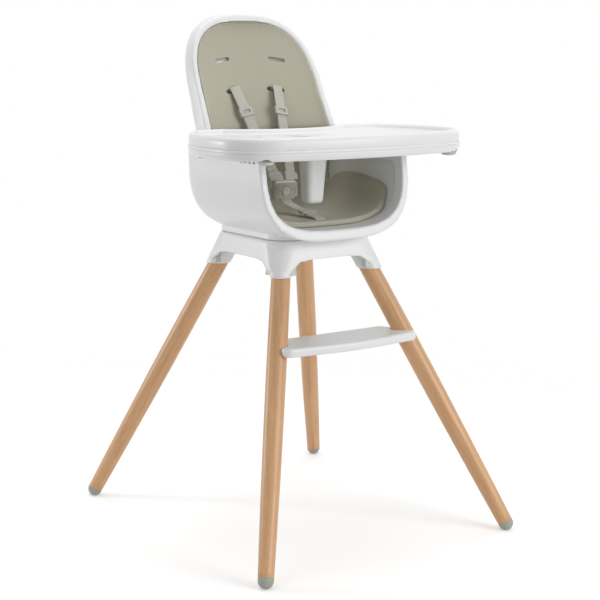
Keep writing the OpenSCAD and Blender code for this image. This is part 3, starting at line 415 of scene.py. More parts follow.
def stadium(length, wide, steps=10):
    r = wide / 2
    half = length / 2 - r
    right = [(half + r * math.sin(a), -r * math.cos(a)) for a in np.linspace(0, math.pi, steps)]
    return right + [(-x, -y) for x, y in right]


def circle(radius, steps=64):
    angles = np.linspace(0, 2 * math.pi, steps, endpoint=False)
    return [(radius * math.cos(a), radius * math.sin(a)) for a in angles]


def rectangle(wide, deep):
    x, y = wide / 2, deep / 2
    return [(-x, -y), (x, -y), (x, y), (-x, y)]


def baked(thing):
    # The evaluated mesh takes the place of the mesh and its modifiers
    result = bpy.data.meshes.new_from_object(thing.evaluated_get(bpy.context.evaluated_depsgraph_get()))
    thing.modifiers.clear()
    thing.data = result
    return thing


def combine(thing, tools, operation):
    for tool in tools:
        modifier = thing.modifiers.new("combine", "BOOLEAN")
        modifier.solver = "MANIFOLD"
        modifier.operation = operation
        modifier.object = tool
    baked(thing)
    for tool in tools:
        bpy.data.objects.remove(tool)
    return thing


def soften(thing, voxel, passes):
    # Even small faces, with every edge rounded by about one voxel
    remesh = thing.modifiers.new("remesh", "REMESH")
    remesh.mode = "VOXEL"
    remesh.voxel_size = voxel
    smooth = thing.modifiers.new("smooth", "SMOOTH")
    smooth.factor = 0.5
    smooth.iterations = passes
    return baked(thing)


def finish(thing, body, slot, *replaced, angle=40):
    thing.data.materials.clear()
    thing.data.materials.append(finishes[slot])
    thing.data.shade_smooth()
    thing.data.set_sharp_from_angle(angle=math.radians(angle))
    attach(thing, body)
    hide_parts(*replaced)
    return thing


def cadCopy(name, node):
    mesh = nodes[node].data.copy()
    form = bmesh.new()
    form.from_mesh(mesh)
    bmesh.ops.remove_doubles(form, verts=form.verts, dist=2e-6)
    form.to_mesh(mesh)
    form.free()
    return newObject(name, mesh)


def smoothPath(points, steps):
    # A Catmull-Rom curve through the points
    ends = [2 * points[0] - points[1]] + list(points) + [2 * points[-1] - points[-2]]
    path = []
    for a, b, c, d in zip(ends, ends[1:], ends[2:], ends[3:]):
        for t in np.linspace(0, 1, steps, endpoint=False):
            path.append(0.5 * (2 * b + (c - a) * t + (2 * a - 5 * b + 4 * c - d) * t ** 2
                               + (3 * b - a - 3 * c + d) * t ** 3))
    return path + [points[-1]]


seat = {
    "bottom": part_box("seat_shell")[0].z,
    "top": 0.960,
    "depth": 0.146,
    "halfWidth": 0.1645,
    "front": 0.139,
    "frontLean": math.tan(math.radians(7.6)),
    "rear": 0.152,
    "armRise": 0.016,
    "backHalf": 0.145,
    "roundHeight": 0.160,
    "lean": math.radians(26.3),
    "rimY": 0.046,
    "backDepth": 0.053,
    "fillet": 0.025,
    "rim": 0.014,
    "lip": 0.029,
    "wall": 0.006,
    "floor": 0.0205,
    "flare": 0.032,
    "straightTo": 0.060,
    "rimFlat": 0.006,
    "padBack": 0.008,
    "padSeat": 0.011,
    "padFront": 0.110,
    "wing": 0.0835,
    "padGap": 0.0003,
    "dishLow": 0.033,
    "dishHigh": 0.009,
    "plinth": 0.016,
    "tubPower": 3.2,
    "bedPower": 3.5,
    "rearPower": 3,
    "backPower": 2.7,
    "innerPower": 3,
    "slim": 0.5,
    "innerSlim": 0.3,
    "backTaper": 0.115,
    "faceInset": 0.0025,
    "past": 0.020,
}
wideZ = seat["bottom"] + seat["depth"]
armZ = wideZ + seat["armRise"]
backTop = seat["top"]
roundZ = backTop - seat["roundHeight"]
floorZ = seat["bottom"] + seat["floor"]
padZ = floorZ + seat["padSeat"]
faceHeight = seat["roundHeight"] - seat["rim"] - seat["faceInset"]
# Cutting forms run on to these places, well clear of the seat
ahead = -0.4
behind = 0.3


def rimLine(z):
    return seat["rimY"] + (z - wideZ) * math.tan(seat["lean"])


def frontLine(z):
    return -seat["front"] - (wideZ - z) * seat["frontLean"]


def sideFlare(z):
    return ease((z - armZ) / seat["flare"])


def rearFlare(z):
    below = 0.020
    return ease((z - armZ + below) / (seat["flare"] + below))


def tubLevel(z, depth, power):
    return bulge(max(0, wideZ - z) / depth, power)


def backLevel(z, low, height, power):
    return bulge(max(0, z - roundZ) / height, power) * (1 + max(0, roundZ - z) * low)


def dish(z):
    share = (z - roundZ + 0.022) / (seat["roundHeight"] + 0.006)
    return min(seat["dishLow"], lerp(seat["dishLow"], seat["dishHigh"], share))


# Each level of a seat surface: half width, start of the rear curve, its depth and its power
def outerLevel(z):
    t = sideFlare(z)
    tub = seat["rear"] - seat["straightTo"]
    return (
        lerp(seat["halfWidth"] * tubLevel(z, seat["depth"], seat["tubPower"]),
             seat["backHalf"] * backLevel(z, seat["slim"], seat["roundHeight"], seat["backPower"]), t),
        lerp(seat["straightTo"], rimLine(z) + seat["rimFlat"], t),
        lerp(tub * tubLevel(z, seat["depth"], seat["rearPower"]),
             seat["backDepth"] - seat["rimFlat"] - seat["backTaper"] * max(0, z - roundZ + 0.018), t),
        lerp(4, 7, t))


def bedLevel(z, wall, inset):
    t = rearFlare(z)
    depth = seat["depth"] - seat["floor"] - inset
    tub = seat["rear"] - seat["wall"] - inset - seat["straightTo"]
    return (
        lerp((seat["halfWidth"] - wall - inset) * tubLevel(z, depth, seat["bedPower"]),
             (seat["backHalf"] - seat["rim"] + 0.002 - inset)
             * backLevel(z, seat["innerSlim"], seat["roundHeight"] - seat["rim"] - inset, seat["innerPower"]),
             sideFlare(z)),
        lerp(seat["straightTo"], rimLine(z) + 0.001, t),
        lerp(tub * tubLevel(z, depth, seat["rearPower"]),
             (dish(z) + seat["padBack"] - inset) / math.cos(seat["lean"]), t),
        lerp(4, 1.9, t))


def faceLevel(z):
    t = rearFlare(z)
    depth = wideZ - padZ
    tub = seat["rear"] - seat["wall"] - seat["padBack"] - seat["straightTo"]
    return (
        lerp((seat["halfWidth"] - seat["wall"] - seat["padBack"]) * tubLevel(z, depth, seat["bedPower"]),
             (seat["backHalf"] - seat["rim"] - 0.0005)
             * backLevel(z, seat["innerSlim"], faceHeight, seat["innerPower"]), sideFlare(z)),
        lerp(seat["straightTo"], rimLine(z) + 0.002, t),
        lerp(tub * tubLevel(z, depth, seat["rearPower"]), dish(z) / math.cos(seat["lean"]), t),
        lerp(4, 1.5, t))


def levelRing(z, level, steps=36):
    # The rear curve is a superellipse, with its points spread evenly along it
    half, start, deep, power = level
    angles = np.linspace(0, math.pi / 2, 400)
    x = half * np.cos(angles) ** (2 / power)
    y = start + deep * np.sin(angles) ** (2 / power)
    x[-1] = 0
    run = np.concatenate([[0], np.cumsum(np.hypot(np.diff(x), np.diff(y)))])
    even = np.linspace(0, run[-1], steps + 1)
    right = list(zip(np.interp(even, run, x), np.interp(even, run, y)))
    ring = [(half, ahead)] + right + [(-px, py) for px, py in right[-2::-1]] + [(-half, ahead)]
    return [(px, py, z) for px, py in ring]


def seatLoft(name, levelOf, depth, height):
    sines = np.sin(np.radians(np.arange(87, 3, -3)))
    levels = [wideZ - depth * s ** (2 / seat["tubPower"]) for s in sines]
    levels += list(np.linspace(wideZ, roundZ, 40))
    sines = np.sin(np.radians(np.arange(6, 88, 3)))
    levels += [roundZ + height * s ** (2 / seat["backPower"]) for s in sines]
    levels.append(roundZ + height * 0.999)
    return loft(name, [levelRing(z, levelOf(z)) for z in levels])


def arc(centre, radius, start, end, steps):
    turns = [math.radians(lerp(start, end, i / steps)) for i in range(steps + 1)]
    return [(centre[0] + radius * math.cos(a), centre[1] + radius * math.sin(a)) for a in turns]


acrossSeat = Matrix(((0, 0, 1, 0), (1, 0, 0, 0), (0, 1, 0, 0), (0, 0, 0, 1)))


def shellOutline():
    # Side view, y and z: front face, arm top, fillet and leaning rim
    lean = math.degrees(seat["lean"])
    filletY = rimLine(armZ) - seat["fillet"] * math.tan(math.radians((90 - lean) / 2))
    top = backTop + seat["past"]
    low = seat["bottom"] - seat["past"]
    nose = 0.010
    return ([(behind, low), (frontLine(low), low)]
            + arc((frontLine(armZ) + nose, armZ - nose), nose, 180, 90, 8)
            + arc((filletY, armZ + seat["fillet"]), seat["fillet"], -90, -lean, 16)
            + [(rimLine(top), top), (behind, top)])


def roundedCorners(outline, radius, steps=6):
    # Every corner of a closed outline becomes a short arc-like curve
    result = []
    for a, b, c in zip(outline[-1:] + outline[:-1], outline, outline[1:] + outline[:1]):
        a, b, c = Vector(a), Vector(b), Vector(c)
        cut = min(radius, (a - b).length * 0.45, (c - b).length * 0.45)
        start = b + (a - b).normalized() * cut
        end = b + (c - b).normalized() * cut
        for t in np.linspace(0, 1, steps):
            result.append(tuple(start.lerp(b, t).lerp(b.lerp(end, t), t)))
    return result


def padOutline():
    # Side view, y and z: front edge, wings beside the child, waist and back
    wingZ = floorZ + seat["wing"]
    low = floorZ - seat["past"]
    top = backTop + seat["past"]
    front = -seat["padFront"]
    frontEdge = [(front, low), (front, padZ), (front - 0.003, padZ + 0.010), (front + 0.011, padZ + 0.035)]
    wing = [(front + 0.018, wingZ - 0.020), (front + 0.036, wingZ - 0.012), (-0.009, wingZ - 0.001),
            (0.045, wingZ), (0.068, wingZ - 0.005), (0.090, wingZ - 0.026)]
    waist = [(rimLine(wingZ) + 0.078, wingZ + 0.006), (rimLine(armZ - 0.020) + 0.036, armZ - 0.020),
             (rimLine(armZ + 0.008) + 0.002, armZ + 0.008)]
    back = [(rimLine(top) + 0.002, top), (behind, top), (behind, low)]
    return roundedCorners(frontEdge + wing + waist + back, 0.014)


slots = {
    "length": 0.036,
    "height": 0.007,
    "slant": math.radians(12.5),
    "places": ((0.0485, armZ + 0.0995), (0.0625, armZ + 0.157)),
    "crotchY": -0.092,
    "strapWide": 0.021,
    "waistX": 0.085,
    "waistZ": padZ + 0.042,
}


def slotFrame(side, x, z):
    y = rimLine(z) + dish(z) * (1 - (x / seat["backHalf"]) ** 2) / math.cos(seat["lean"])
    lean = Matrix.Rotation(-math.pi / 2 - seat["lean"], 4, "X")
    slant = Matrix.Rotation(side * slots["slant"], 4, "Z")
    return Matrix.Translation((side * x, y, z)) @ lean @ slant


def slotCutters(grow):
    outline = stadium(slots["length"] + grow, slots["height"] + grow)
    cutters = [prism("slotCutter", outline, 0.16, slotFrame(side, x, z))
               for side in (-1, 1) for x, z in slots["places"]]
    crotch = Matrix.Translation((0, slots["crotchY"], padZ))
    wide = slots["strapWide"] + 0.006 + grow
    return cutters + [prism("slotCutter", stadium(wide, slots["height"] + grow), 0.12, crotch)]


def roundedBlock(name, halfX, halfY, radius, levels):
    # Rings of a rounded rectangle, from a list of (height, inset)
    rings = []
    for z, inset in levels:
        ring = []
        for centreX, centreY, start in ((1, 1, 0), (-1, 1, 90), (-1, -1, 180), (1, -1, 270)):
            centre = (centreX * (halfX - radius), centreY * (halfY - radius))
            ring += arc(centre, radius - inset, start, start + 90, 14)
        rings.append([(x, y, z) for x, y in ring])
    return loft(name, rings)


hub = {
    "halfX": 0.111,
    "halfY": 0.114,
    "corner": 0.046,
    "plateR": 0.0803,
    "plateTop": 0.0037,
    "anchorBed": (0.036, 0.016),
    "anchorTop": 0.008,
    "plinthDrop": 0.0005,
    "plinthInset": 0.0064,
}
armSlots = {
    "notch": {"z": wideZ - 0.001, "size": (0.006, 0.008), "tall": 0.004,
              "ys": (-0.078, -0.092, -0.106, -0.120)},
    "longSlot": {"z": wideZ - 0.003, "size": (0.006, 0.036), "tall": 0.003, "ys": (0.050,)},
}


def armSlotCutters():
    # Notches and a long slot on the outer side of each arm, under the tray
    return [prism(name, rectangle(*slot["size"]), slot["tall"],
                  Matrix.Translation((side * seat["halfWidth"], y, slot["z"])))
            for side in (-1, 1) for name, slot in armSlots.items() for y in slot["ys"]]


def makeShell():
    thing = seatLoft("seatShell", outerLevel, seat["depth"], seat["roundHeight"])
    combine(thing, [prism("sideView", shellOutline(), 0.5, acrossSeat)], "INTERSECT")
    low = seat["bottom"]
    # The plinth reaches a little below the shell, so that only a thin seam shows above the hub
    plinth = roundedBlock("plinth", hub["halfX"], hub["halfY"], hub["corner"], [
        (low - hub["plinthDrop"], 0.0006), (low, 0.0003), (low + 0.002, 0.0005),
        (low + seat["plinth"], hub["plinthInset"])])
    combine(thing, [plinth], "UNION")
    depth = seat["depth"] - seat["floor"]
    height = seat["roundHeight"] - seat["rim"]
    bed = seatLoft("bed", lambda z: bedLevel(z, seat["rim"], 0), depth, height)
    deepBed = seatLoft("deepBed", lambda z: bedLevel(z, seat["wall"], 0), depth, height)
    lipZ = armZ - seat["lip"]
    foot = low - seat["past"]
    under = [(behind, foot), (frontLine(foot) + seat["lip"], foot),
             (frontLine(lipZ) + seat["lip"], lipZ), (behind, lipZ)]
    combine(deepBed, [prism("behindLip", under, 0.5, acrossSeat)], "INTERSECT")
    combine(thing, [bed, deepBed], "DIFFERENCE")
    soften(thing, 0.0027, 5)
    tall = 0.02
    cutters = slotCutters(0)
    cutters.append(prism("plateBed", circle(hub["plateR"], 96), tall, Matrix.Translation(
        (0, 0, low + hub["plateTop"] - tall / 2))))
    cutters.append(prism("anchorBed", rectangle(*hub["anchorBed"]), tall, Matrix.Translation(
        (0, slots["crotchY"], low + hub["anchorTop"] - tall / 2))))
    combine(thing, cutters + armSlotCutters(), "DIFFERENCE")
    return finish(thing, "seat", "white_plastic", "seat_shell", angle=50)


def makePad():
    inset = seat["padGap"]
    depth = seat["depth"] - seat["floor"] - inset
    height = seat["roundHeight"] - seat["rim"] - inset
    thing = seatLoft("seatPad", lambda z: bedLevel(z, seat["wall"], inset), depth, height)
    narrow = seatLoft("narrowBed", lambda z: bedLevel(z, seat["rim"], inset), depth, height)
    tall = 0.4
    lipZ = armZ - seat["lip"] - 0.004
    low = prism("lowHalf", rectangle(0.5, 0.6), tall, Matrix.Translation((0, 0, lipZ - tall / 2)))
    combine(low, [narrow], "UNION")
    combine(thing, [low, prism("padView", padOutline(), 0.5, acrossSeat)], "INTERSECT")
    face = seatLoft("padFace", faceLevel, wideZ - padZ, faceHeight)
    combine(thing, [face], "DIFFERENCE")
    soften(thing, 0.0025, 6)
    cutters = slotCutters(0.001)
    for side in (-1, 1):
        place = Matrix.Translation((side * slots["waistX"], seat["rear"] - 0.020, slots["waistZ"]))
        upright = place @ Matrix.Rotation(math.pi / 2, 4, "X") @ Matrix.Rotation(math.pi / 2, 4, "Z")
        outline = stadium(slots["strapWide"] + 0.008, slots["height"])
        cutters.append(prism("waistSlot", outline, 0.08, upright))
    combine(thing, cutters, "DIFFERENCE")
    finish(thing, "seat", "foam", "seat_pad", angle=60)
    return thing


shell = makeShell()
print("seat shell made:", len(shell.data.polygons), "faces")
pad = makePad()
print("seat pad made:", len(pad.data.polygons), "faces")


tray = {
    "halfWidth": 0.256,
    "front": 0.256,
    "wideAt": 0.128,
    "rear": 0.043,
    "sideR": 0.300,
    "edgeR": 0.900,
    "frontR": 0.092,
    "rearR": 0.052,
    "cutoutY": 0.015,
    "cutoutR": 0.175,
    "noseR": 0.020,
    "wall": 0.0035,
    "bottom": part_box("tray_base")[0].z,
    "parting": armZ + 0.0118,
    "top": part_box("tray_insert")[1].z,
    "floorDrop": 0.009,
    "cup": (-0.083, -0.098),
    "cupR": 0.043,
    "cupDepth": 0.003,
    "railGap": 0.0003,
    "railHalf": 0.002,
    "railLow": 0.006,
    "railFront": 0.011,
    "railRear": 0.030,
    "roomY": 0.040,
    "room": (0.040, 0.034),
    "roomDrop": 0.016,
    "release": (0.201, -0.213),
    "releaseR": 0.015,
    "releaseUp": 0.004,
}


def meeting(a, ra, b, rb):
    # The point at distance ra from a and rb from b, right of the line from a to b
    d = math.dist(a, b)
    u = ((b[0] - a[0]) / d, (b[1] - a[1]) / d)
    along = (ra * ra - rb * rb + d * d) / (2 * d)
    off = math.sqrt(ra * ra - along * along)
    return (a[0] + along * u[0] + off * u[1], a[1] + along * u[1] - off * u[0])


def angleTo(start, end):
    return math.degrees(math.atan2(end[1] - start[1], end[0] - start[0]))


def trayPlan(inset):
    sideC = (tray["halfWidth"] - tray["sideR"], -tray["wideAt"])
    edgeC = (0, tray["edgeR"] - tray["front"])
    frontC = meeting(sideC, tray["sideR"] - tray["frontR"], edgeC, tray["edgeR"] - tray["frontR"])
    rearY = tray["rear"] - tray["rearR"]
    rearRun = math.sqrt((tray["sideR"] - tray["rearR"]) ** 2 - (rearY + tray["wideAt"]) ** 2)
    rearC = (sideC[0] + rearRun, rearY)
    cutC = (0, tray["cutoutR"] - tray["cutoutY"])
    noseY = tray["rear"] - tray["noseR"]
    noseC = (math.sqrt((tray["cutoutR"] + tray["noseR"]) ** 2 - (noseY - cutC[1]) ** 2), noseY)
    toFront = angleTo(edgeC, frontC)
    toSide = angleTo(sideC, frontC)
    toRear = angleTo(sideC, rearC)
    toCut = angleTo(noseC, cutC)
    half = (arc(edgeC, tray["edgeR"] - inset, lerp(-90, toFront, 0.04), toFront - 0.3, 14)
            + arc(frontC, tray["frontR"] - inset, toFront, toSide, 26)
            + arc(sideC, tray["sideR"] - inset, toSide + 1, toRear - 1, 18)
            + arc(rearC, tray["rearR"] - inset, toRear, 90, 20)
            + arc(noseC, tray["noseR"] - inset, 89, toCut + 360 if toCut < 0 else toCut, 12)
            + arc(cutC, tray["cutoutR"] + inset, toCut - 182, -88, 22))
    return half + [(-x, y) for x, y in reversed(half)]


def trayBody(name, profile):
    # profile runs from the underside's middle, round the edge, to the upper side's middle
    thing = loft(name, [[(x, y, z) for x, y in trayPlan(inset)] for inset, z in profile])
    form = bmesh.new()
    form.from_mesh(thing.data)
    bmesh.ops.triangulate(form, faces=[face for face in form.faces if len(face.verts) > 4])
    form.to_mesh(thing.data)
    form.free()
    return thing


def curved(points, steps=6):
    return [tuple(p) for p in smoothPath([np.array(p) for p in points], steps)]


def bevelBox(name, low, high, radius):
    middle = (Vector(low) + Vector(high)) / 2
    size = Vector(high) - Vector(low)
    form = bmesh.new()
    bmesh.ops.create_cube(form, size=1, matrix=Matrix.Translation(middle) @ Matrix.Diagonal((*size, 1)))
    bmesh.ops.bevel(form, geom=form.edges[:], offset=radius, segments=3, affect="EDGES", profile=0.5)
    mesh = bpy.data.meshes.new(name)
    form.to_mesh(mesh)
    form.free()
    return newObject(name, mesh)


def makeTrayInsert():
    p, t, wall = tray["parting"], tray["top"], tray["wall"]
    f = t - tray["floorDrop"]
    under = [(wall + 0.006, f - wall), (wall + 0.003, f - wall - 0.001), (wall + 0.001, f - wall - 0.004),
             (wall, p + 0.004), (wall, p)]
    edge = curved([(0.0036, p), (0.0030, p + 0.0006), (0.0024, p + 0.004), (0.0022, t - 0.010),
                   (0.0034, t - 0.0050), (0.0066, t - 0.0014), (0.0108, t), (0.0132, t - 0.0008),
                   (0.0162, t - 0.0035), (0.0190, f + 0.0016), (0.0230, f)])
    thing = trayBody("trayInsert", under + edge)
    r, low = tray["cupR"], f - tray["cupDepth"]
    side = [(r - 0.003, low), (r - 0.001, low + 0.0004), (r, low + 0.0014), (r, f - 0.0008),
            (r + 0.0003, f - 0.0003), (r + 0.0009, f + 0.0001), (r + 0.001, t + 0.01)]
    cupX, cupY = tray["cup"]
    rings = [[(cupX + x, cupY + y, z) for x, y in circle(radius, 96)] for radius, z in side]
    recess = loft("cupRecess", rings)
    combine(thing, [recess], "DIFFERENCE")
    return finish(thing, "insert", "white_plastic", "tray_insert", angle=32)


def makeTrayBase():
    b, p, wall = tray["bottom"], tray["parting"], tray["wall"]
    under = [(wall + 0.0015, p - wall), (wall + 0.001, p - wall - 0.001), (wall + 0.001, b + 0.006)]
    edge = curved([(wall + 0.0030, b + 0.0020), (wall + 0.0040, b + 0.0003), (0.0062, b),
                   (0.0048, b + 0.0008), (0.0030, b + 0.0028), (0.0014, b + 0.0075), (0.0009, p - 0.0062),
                   (0.0016, p - 0.0054), (0.0016, p - 0.0048), (0.0003, p - 0.0040), (0.0001, p - 0.0014),
                   (0.0005, p - 0.0003), (0.0014, p)])
    thing = trayBody("trayBase", under + edge)
    inner = seat["halfWidth"] - seat["rim"] - tray["railGap"]
    outer = seat["halfWidth"] + tray["railGap"]
    front = -seat["front"] - tray["railFront"]
    rear = tray["railRear"]
    half = tray["railHalf"]
    top = p - wall + 0.001
    parts = []
    for side in (-1, 1):
        for x in (inner - half, outer + half):
            parts.append(bevelBox("rail", (side * x - half, front, armZ - tray["railLow"]),
                                  (side * x + half, rear, top), 0.0008))
        parts.append(bevelBox("railTop", (min(side * inner, side * outer) - 0.001, front, armZ + 0.0002),
                              (max(side * inner, side * outer) + 0.001, rear, top), 0.0006))
    combine(thing, parts, "UNION")
    roomLong, roomTall = tray["room"]
    releaseX, releaseY = tray["release"]
    tall = 0.02
    cutters = []
    for side in (-1, 1):
        middle = Matrix.Translation((side * (inner + outer) / 2, tray["roomY"], armZ - tray["roomDrop"]))
        cutters.append(prism("armRoom", rectangle(outer - inner, roomLong), roomTall, middle))
        cutters.append(prism("releaseRoom", circle(tray["releaseR"]), tall, Matrix.Translation(
            (side * releaseX, releaseY, b + tray["releaseUp"] - tall / 2))))
    combine(thing, cutters, "DIFFERENCE")
    return finish(thing, "tray", "white_plastic", "tray_base", angle=32)


makeTrayInsert()
trayBase = makeTrayBase()
print("tray made:", len(trayBase.data.polygons), "faces in its base")


buckle = {
    "y": 0.030,
    "z": padZ + 0.045,
    "wide": 0.050,
    "high": 0.036,
    "deep": 0.017,
    "ring": 0.0118,
    "ringWide": 0.0009,
    "groove": 0.0014,
    "recess": 0.00705,
    "recessR": 0.0098,
    "stepY": -0.0133,
    "step": (0.038, 0.0009, 0.0012),
    "ventX": 0.0185,
    "vent": (0.014, 0.0016, 0.0016),
    "tilt": math.radians(14),
}

# Moulded pieces that keep the CAD form, with rounded edges: voxel, smoothing passes, body and CAD node
small = {"voxel": 0.0006, "passes": 2}
moulded = {
    "hubShell": {"voxel": 0.0019, "passes": 5, "body": "base", "node": "hub_shell"},
    "hubCover": {"voxel": 0.0014, "passes": 2, "body": "base", "node": "hub_cover"},
    "footrest": {"voxel": 0.0018, "passes": 6, "body": "base", "node": "footrest"},
    "crotchPost": {"voxel": 0.0014, "passes": 8, "body": "tray", "node": "crotch_post"},
    "buckleHousing": {"voxel": 0.0007, "passes": 5, "body": "seat", "node": "buckle_housing"},
    "tongueLeft": {**small, "body": "seat", "node": "tongue_left"},
    "tongueRight": {**small, "body": "seat", "node": "tongue_right"},
    "adjusterLeft": {**small, "body": "adjuster_left", "node": "shoulder_adjuster_left"},
    "adjusterRight": {**small, "body": "adjuster_right", "node": "shoulder_adjuster_right"},
    "adjusterCrotch": {**small, "body": "adjuster_crotch", "node": "crotch_adjuster"},
}


def makeMoulded(pieces):
    for name, piece in pieces.items():
        thing = soften(cadCopy(name, piece["node"]), piece["voxel"], piece["passes"])
        finish(thing, piece["body"], slotOf[piece["node"]], piece["node"], angle=60)
        print("moulded", name, len(thing.data.polygons), "faces")


makeMoulded(moulded)


def cutBuckle(housing):
    # A ring round the button, a step across the lower end and two vents beside it
    front = (Matrix.Translation((0, buckle["y"], buckle["z"])) @ Matrix.Rotation(buckle["tilt"], 4, "X")
             @ Matrix.Translation((0, -buckle["deep"] / 2, 0)) @ Matrix.Rotation(math.pi / 2, 4, "X"))
    ring = prism("ring", circle(buckle["ring"]), buckle["groove"], front)
    core = prism("core", circle(buckle["ring"] - buckle["ringWide"]), 2 * buckle["groove"], front)
    combine(ring, [core], "DIFFERENCE")
    recess = prism("recess", circle(buckle["recessR"]), 2 * buckle["recess"], front)
    long, wide, tall = buckle["step"]
    step = prism("step", rectangle(long, wide), tall, front @ Matrix.Translation((0, buckle["stepY"], 0)))
    cutters = [ring, recess, step]
    long, wide, tall = buckle["vent"]
    upright = Matrix.Rotation(math.pi / 2, 4, "Z")
    for side in (-1, 1):
        place = front @ Matrix.Translation((side * buckle["ventX"], 0, 0))
        cutters.append(prism("vent", stadium(long, wide), tall, place @ upright))
    combine(housing, cutters, "DIFFERENCE")
    housing.data.shade_smooth()
    housing.data.set_sharp_from_angle(angle=math.radians(60))


cutBuckle(bpy.data.objects["buckleHousing"])


legs = {
    "footX": 0.276,
    "footY": 0.322,
    "topX": 0.100,
    "topY": 0.108,
    "socketZ": 0.490,
    "topR": 0.0175,
    "midR": 0.0181,
    "footR": 0.014,
    "midZ": 0.360,
    "start": 0.019,
    "pegR": 0.0075,
    "peg": 0.009,
    "endZ": 0.5359,
    "corners": {
        "leg_front_left": (-1, -1),
        "leg_front_right": (1, -1),
        "leg_rear_left": (-1, 1),
        "leg_rear_right": (1, 1),
    },
    "grainTurns": (0.9, 2.6, 4.3, 6.0),
    "grainStep": Vector((0.3, 0, 0.7)),
}


def makeLegs():
    runX = legs["footX"] - legs["topX"]
    runY = legs["footY"] - legs["topY"]
    tilt = math.atan2(math.hypot(runX, runY), legs["socketZ"])
    mouth = legs["socketZ"] / math.cos(tilt)
    middle = legs["midZ"] / math.cos(tilt)
    end = legs["endZ"] / math.cos(tilt)

    def radius(s):
        if s > mouth:
            return legs["topR"]
        if s < middle:
            thinner, share = legs["midR"] - legs["footR"], (s - middle) / (legs["start"] - middle)
        else:
            thinner, share = legs["midR"] - legs["topR"], (s - middle) / (mouth - middle)
        return legs["midR"] - thinner * share ** 2

    # A peg into the foot, then the leg with a small bevel at each end
    start = legs["start"]
    profile = [(legs["pegR"], start - legs["peg"]), (legs["pegR"], start), (radius(start) - 0.0006, start)]
    profile += [(radius(s), s) for s in np.linspace(start + 0.0008, end - 0.0015, 60)]
    profile += [(legs["topR"] - 0.0015, end)]
    for index, (node, (sideX, sideY)) in enumerate(legs["corners"].items()):
        yaw = math.atan2(-sideY * runY, -sideX * runX)
        place = (Matrix.Translation((sideX * legs["footX"], sideY * legs["footY"], 0))
                 @ Matrix.Rotation(yaw, 4, "Z") @ Matrix.Rotation(tilt, 4, "Y"))
        rings = [[(x, y, s) for x, y in circle(r, 48)] for r, s in profile]
        thing = loft(node.replace("_", " ").title().replace(" ", ""), rings)
        thing.name = thing.name[0].lower() + thing.name[1:]
        local = thing.data.attributes.new("legPlace", "FLOAT_VECTOR", "POINT")
        turn = Matrix.Rotation(legs["grainTurns"][index], 4, "Z")
        for vertex, value in zip(thing.data.vertices, local.data):
            value.vector = turn @ vertex.co + legs["grainStep"] * index
        thing.data.transform(place)
        finish(thing, "base", "beech", node, angle=50)


makeLegs()
print("legs made")


# Webbing: a flat strap along a path, with a map in metres along and across it
def webbing(name, path, across, wide, thick):
    side = Vector(across).normalized()
    points = [Vector(p) for p in smoothPath([np.array(p) for p in path], 8)]
    section = [(-0.5, 0.18), (-0.47, 0.42), (-0.3, 0.5), (0.3, 0.5), (0.47, 0.42), (0.5, 0.18),
               (0.5, -0.18), (0.47, -0.42), (0.3, -0.5), (-0.3, -0.5), (-0.47, -0.42), (-0.5, -0.18)]
    rings = []
    runs = []
    run = 0
    for i, point in enumerate(points):
        along = (points[min(i + 1, len(points) - 1)] - points[max(i - 1, 0)]).normalized()
        up = side.cross(along).normalized()
        rings.append([point + side * u * wide + up * v * thick for u, v in section])
        run += (point - points[i - 1]).length if i else 0
        runs.append(run)
    thing = loft(name, rings)
    uv = thing.data.uv_layers.new(name="strapMap")
    places = np.array([p for ring in rings for p in ring])
    values = [(runs[i], u * wide) for i in range(len(points)) for u, v in section]
    for loop in thing.data.loops:
        co = np.array(thing.data.vertices[loop.vertex_index].co)
        uv.data[loop.index].uv = values[int(((places - co) ** 2).sum(1).argmin())]
    return thing


strap = {
    "wide": 0.021,
    "thick": 0.0016,
    "slotOut": 0.007,
    "footX": 0.018,
    "footUp": 0.008,
    "anchorDepth": 0.0216,
    "crotchRun": ((0, -0.012, padZ + 0.015), (0, -0.072, padZ + 0.005)),
    "waistPath": (
        (buckle["wide"] / 2 + 0.0003, buckle["y"] + 0.002, buckle["z"] - 0.004),
        (0.034, buckle["y"] + 0.006, buckle["z"] - 0.006),
        (0.052, 0.072, slots["waistZ"] - 0.010),
        (0.072, 0.104, slots["waistZ"] - 0.003),
        (slots["waistX"], 0.122, slots["waistZ"]),
        (slots["waistX"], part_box("waist_anchors")[0].y - 0.0003, slots["waistZ"])),
}


def strapEnds(side):
    x, z = slots["places"][0]
    slot = slotFrame(side, x, z).translation
    through = Vector((0, math.cos(seat["lean"]), -math.sin(seat["lean"])))
    footZ = buckle["z"] + buckle["high"] / 2 + strap["footUp"]
    foot = Vector((side * strap["footX"], buckle["y"] + 0.003, footZ))
    top = slot - through * strap["slotOut"]
    return foot, top, slot, through


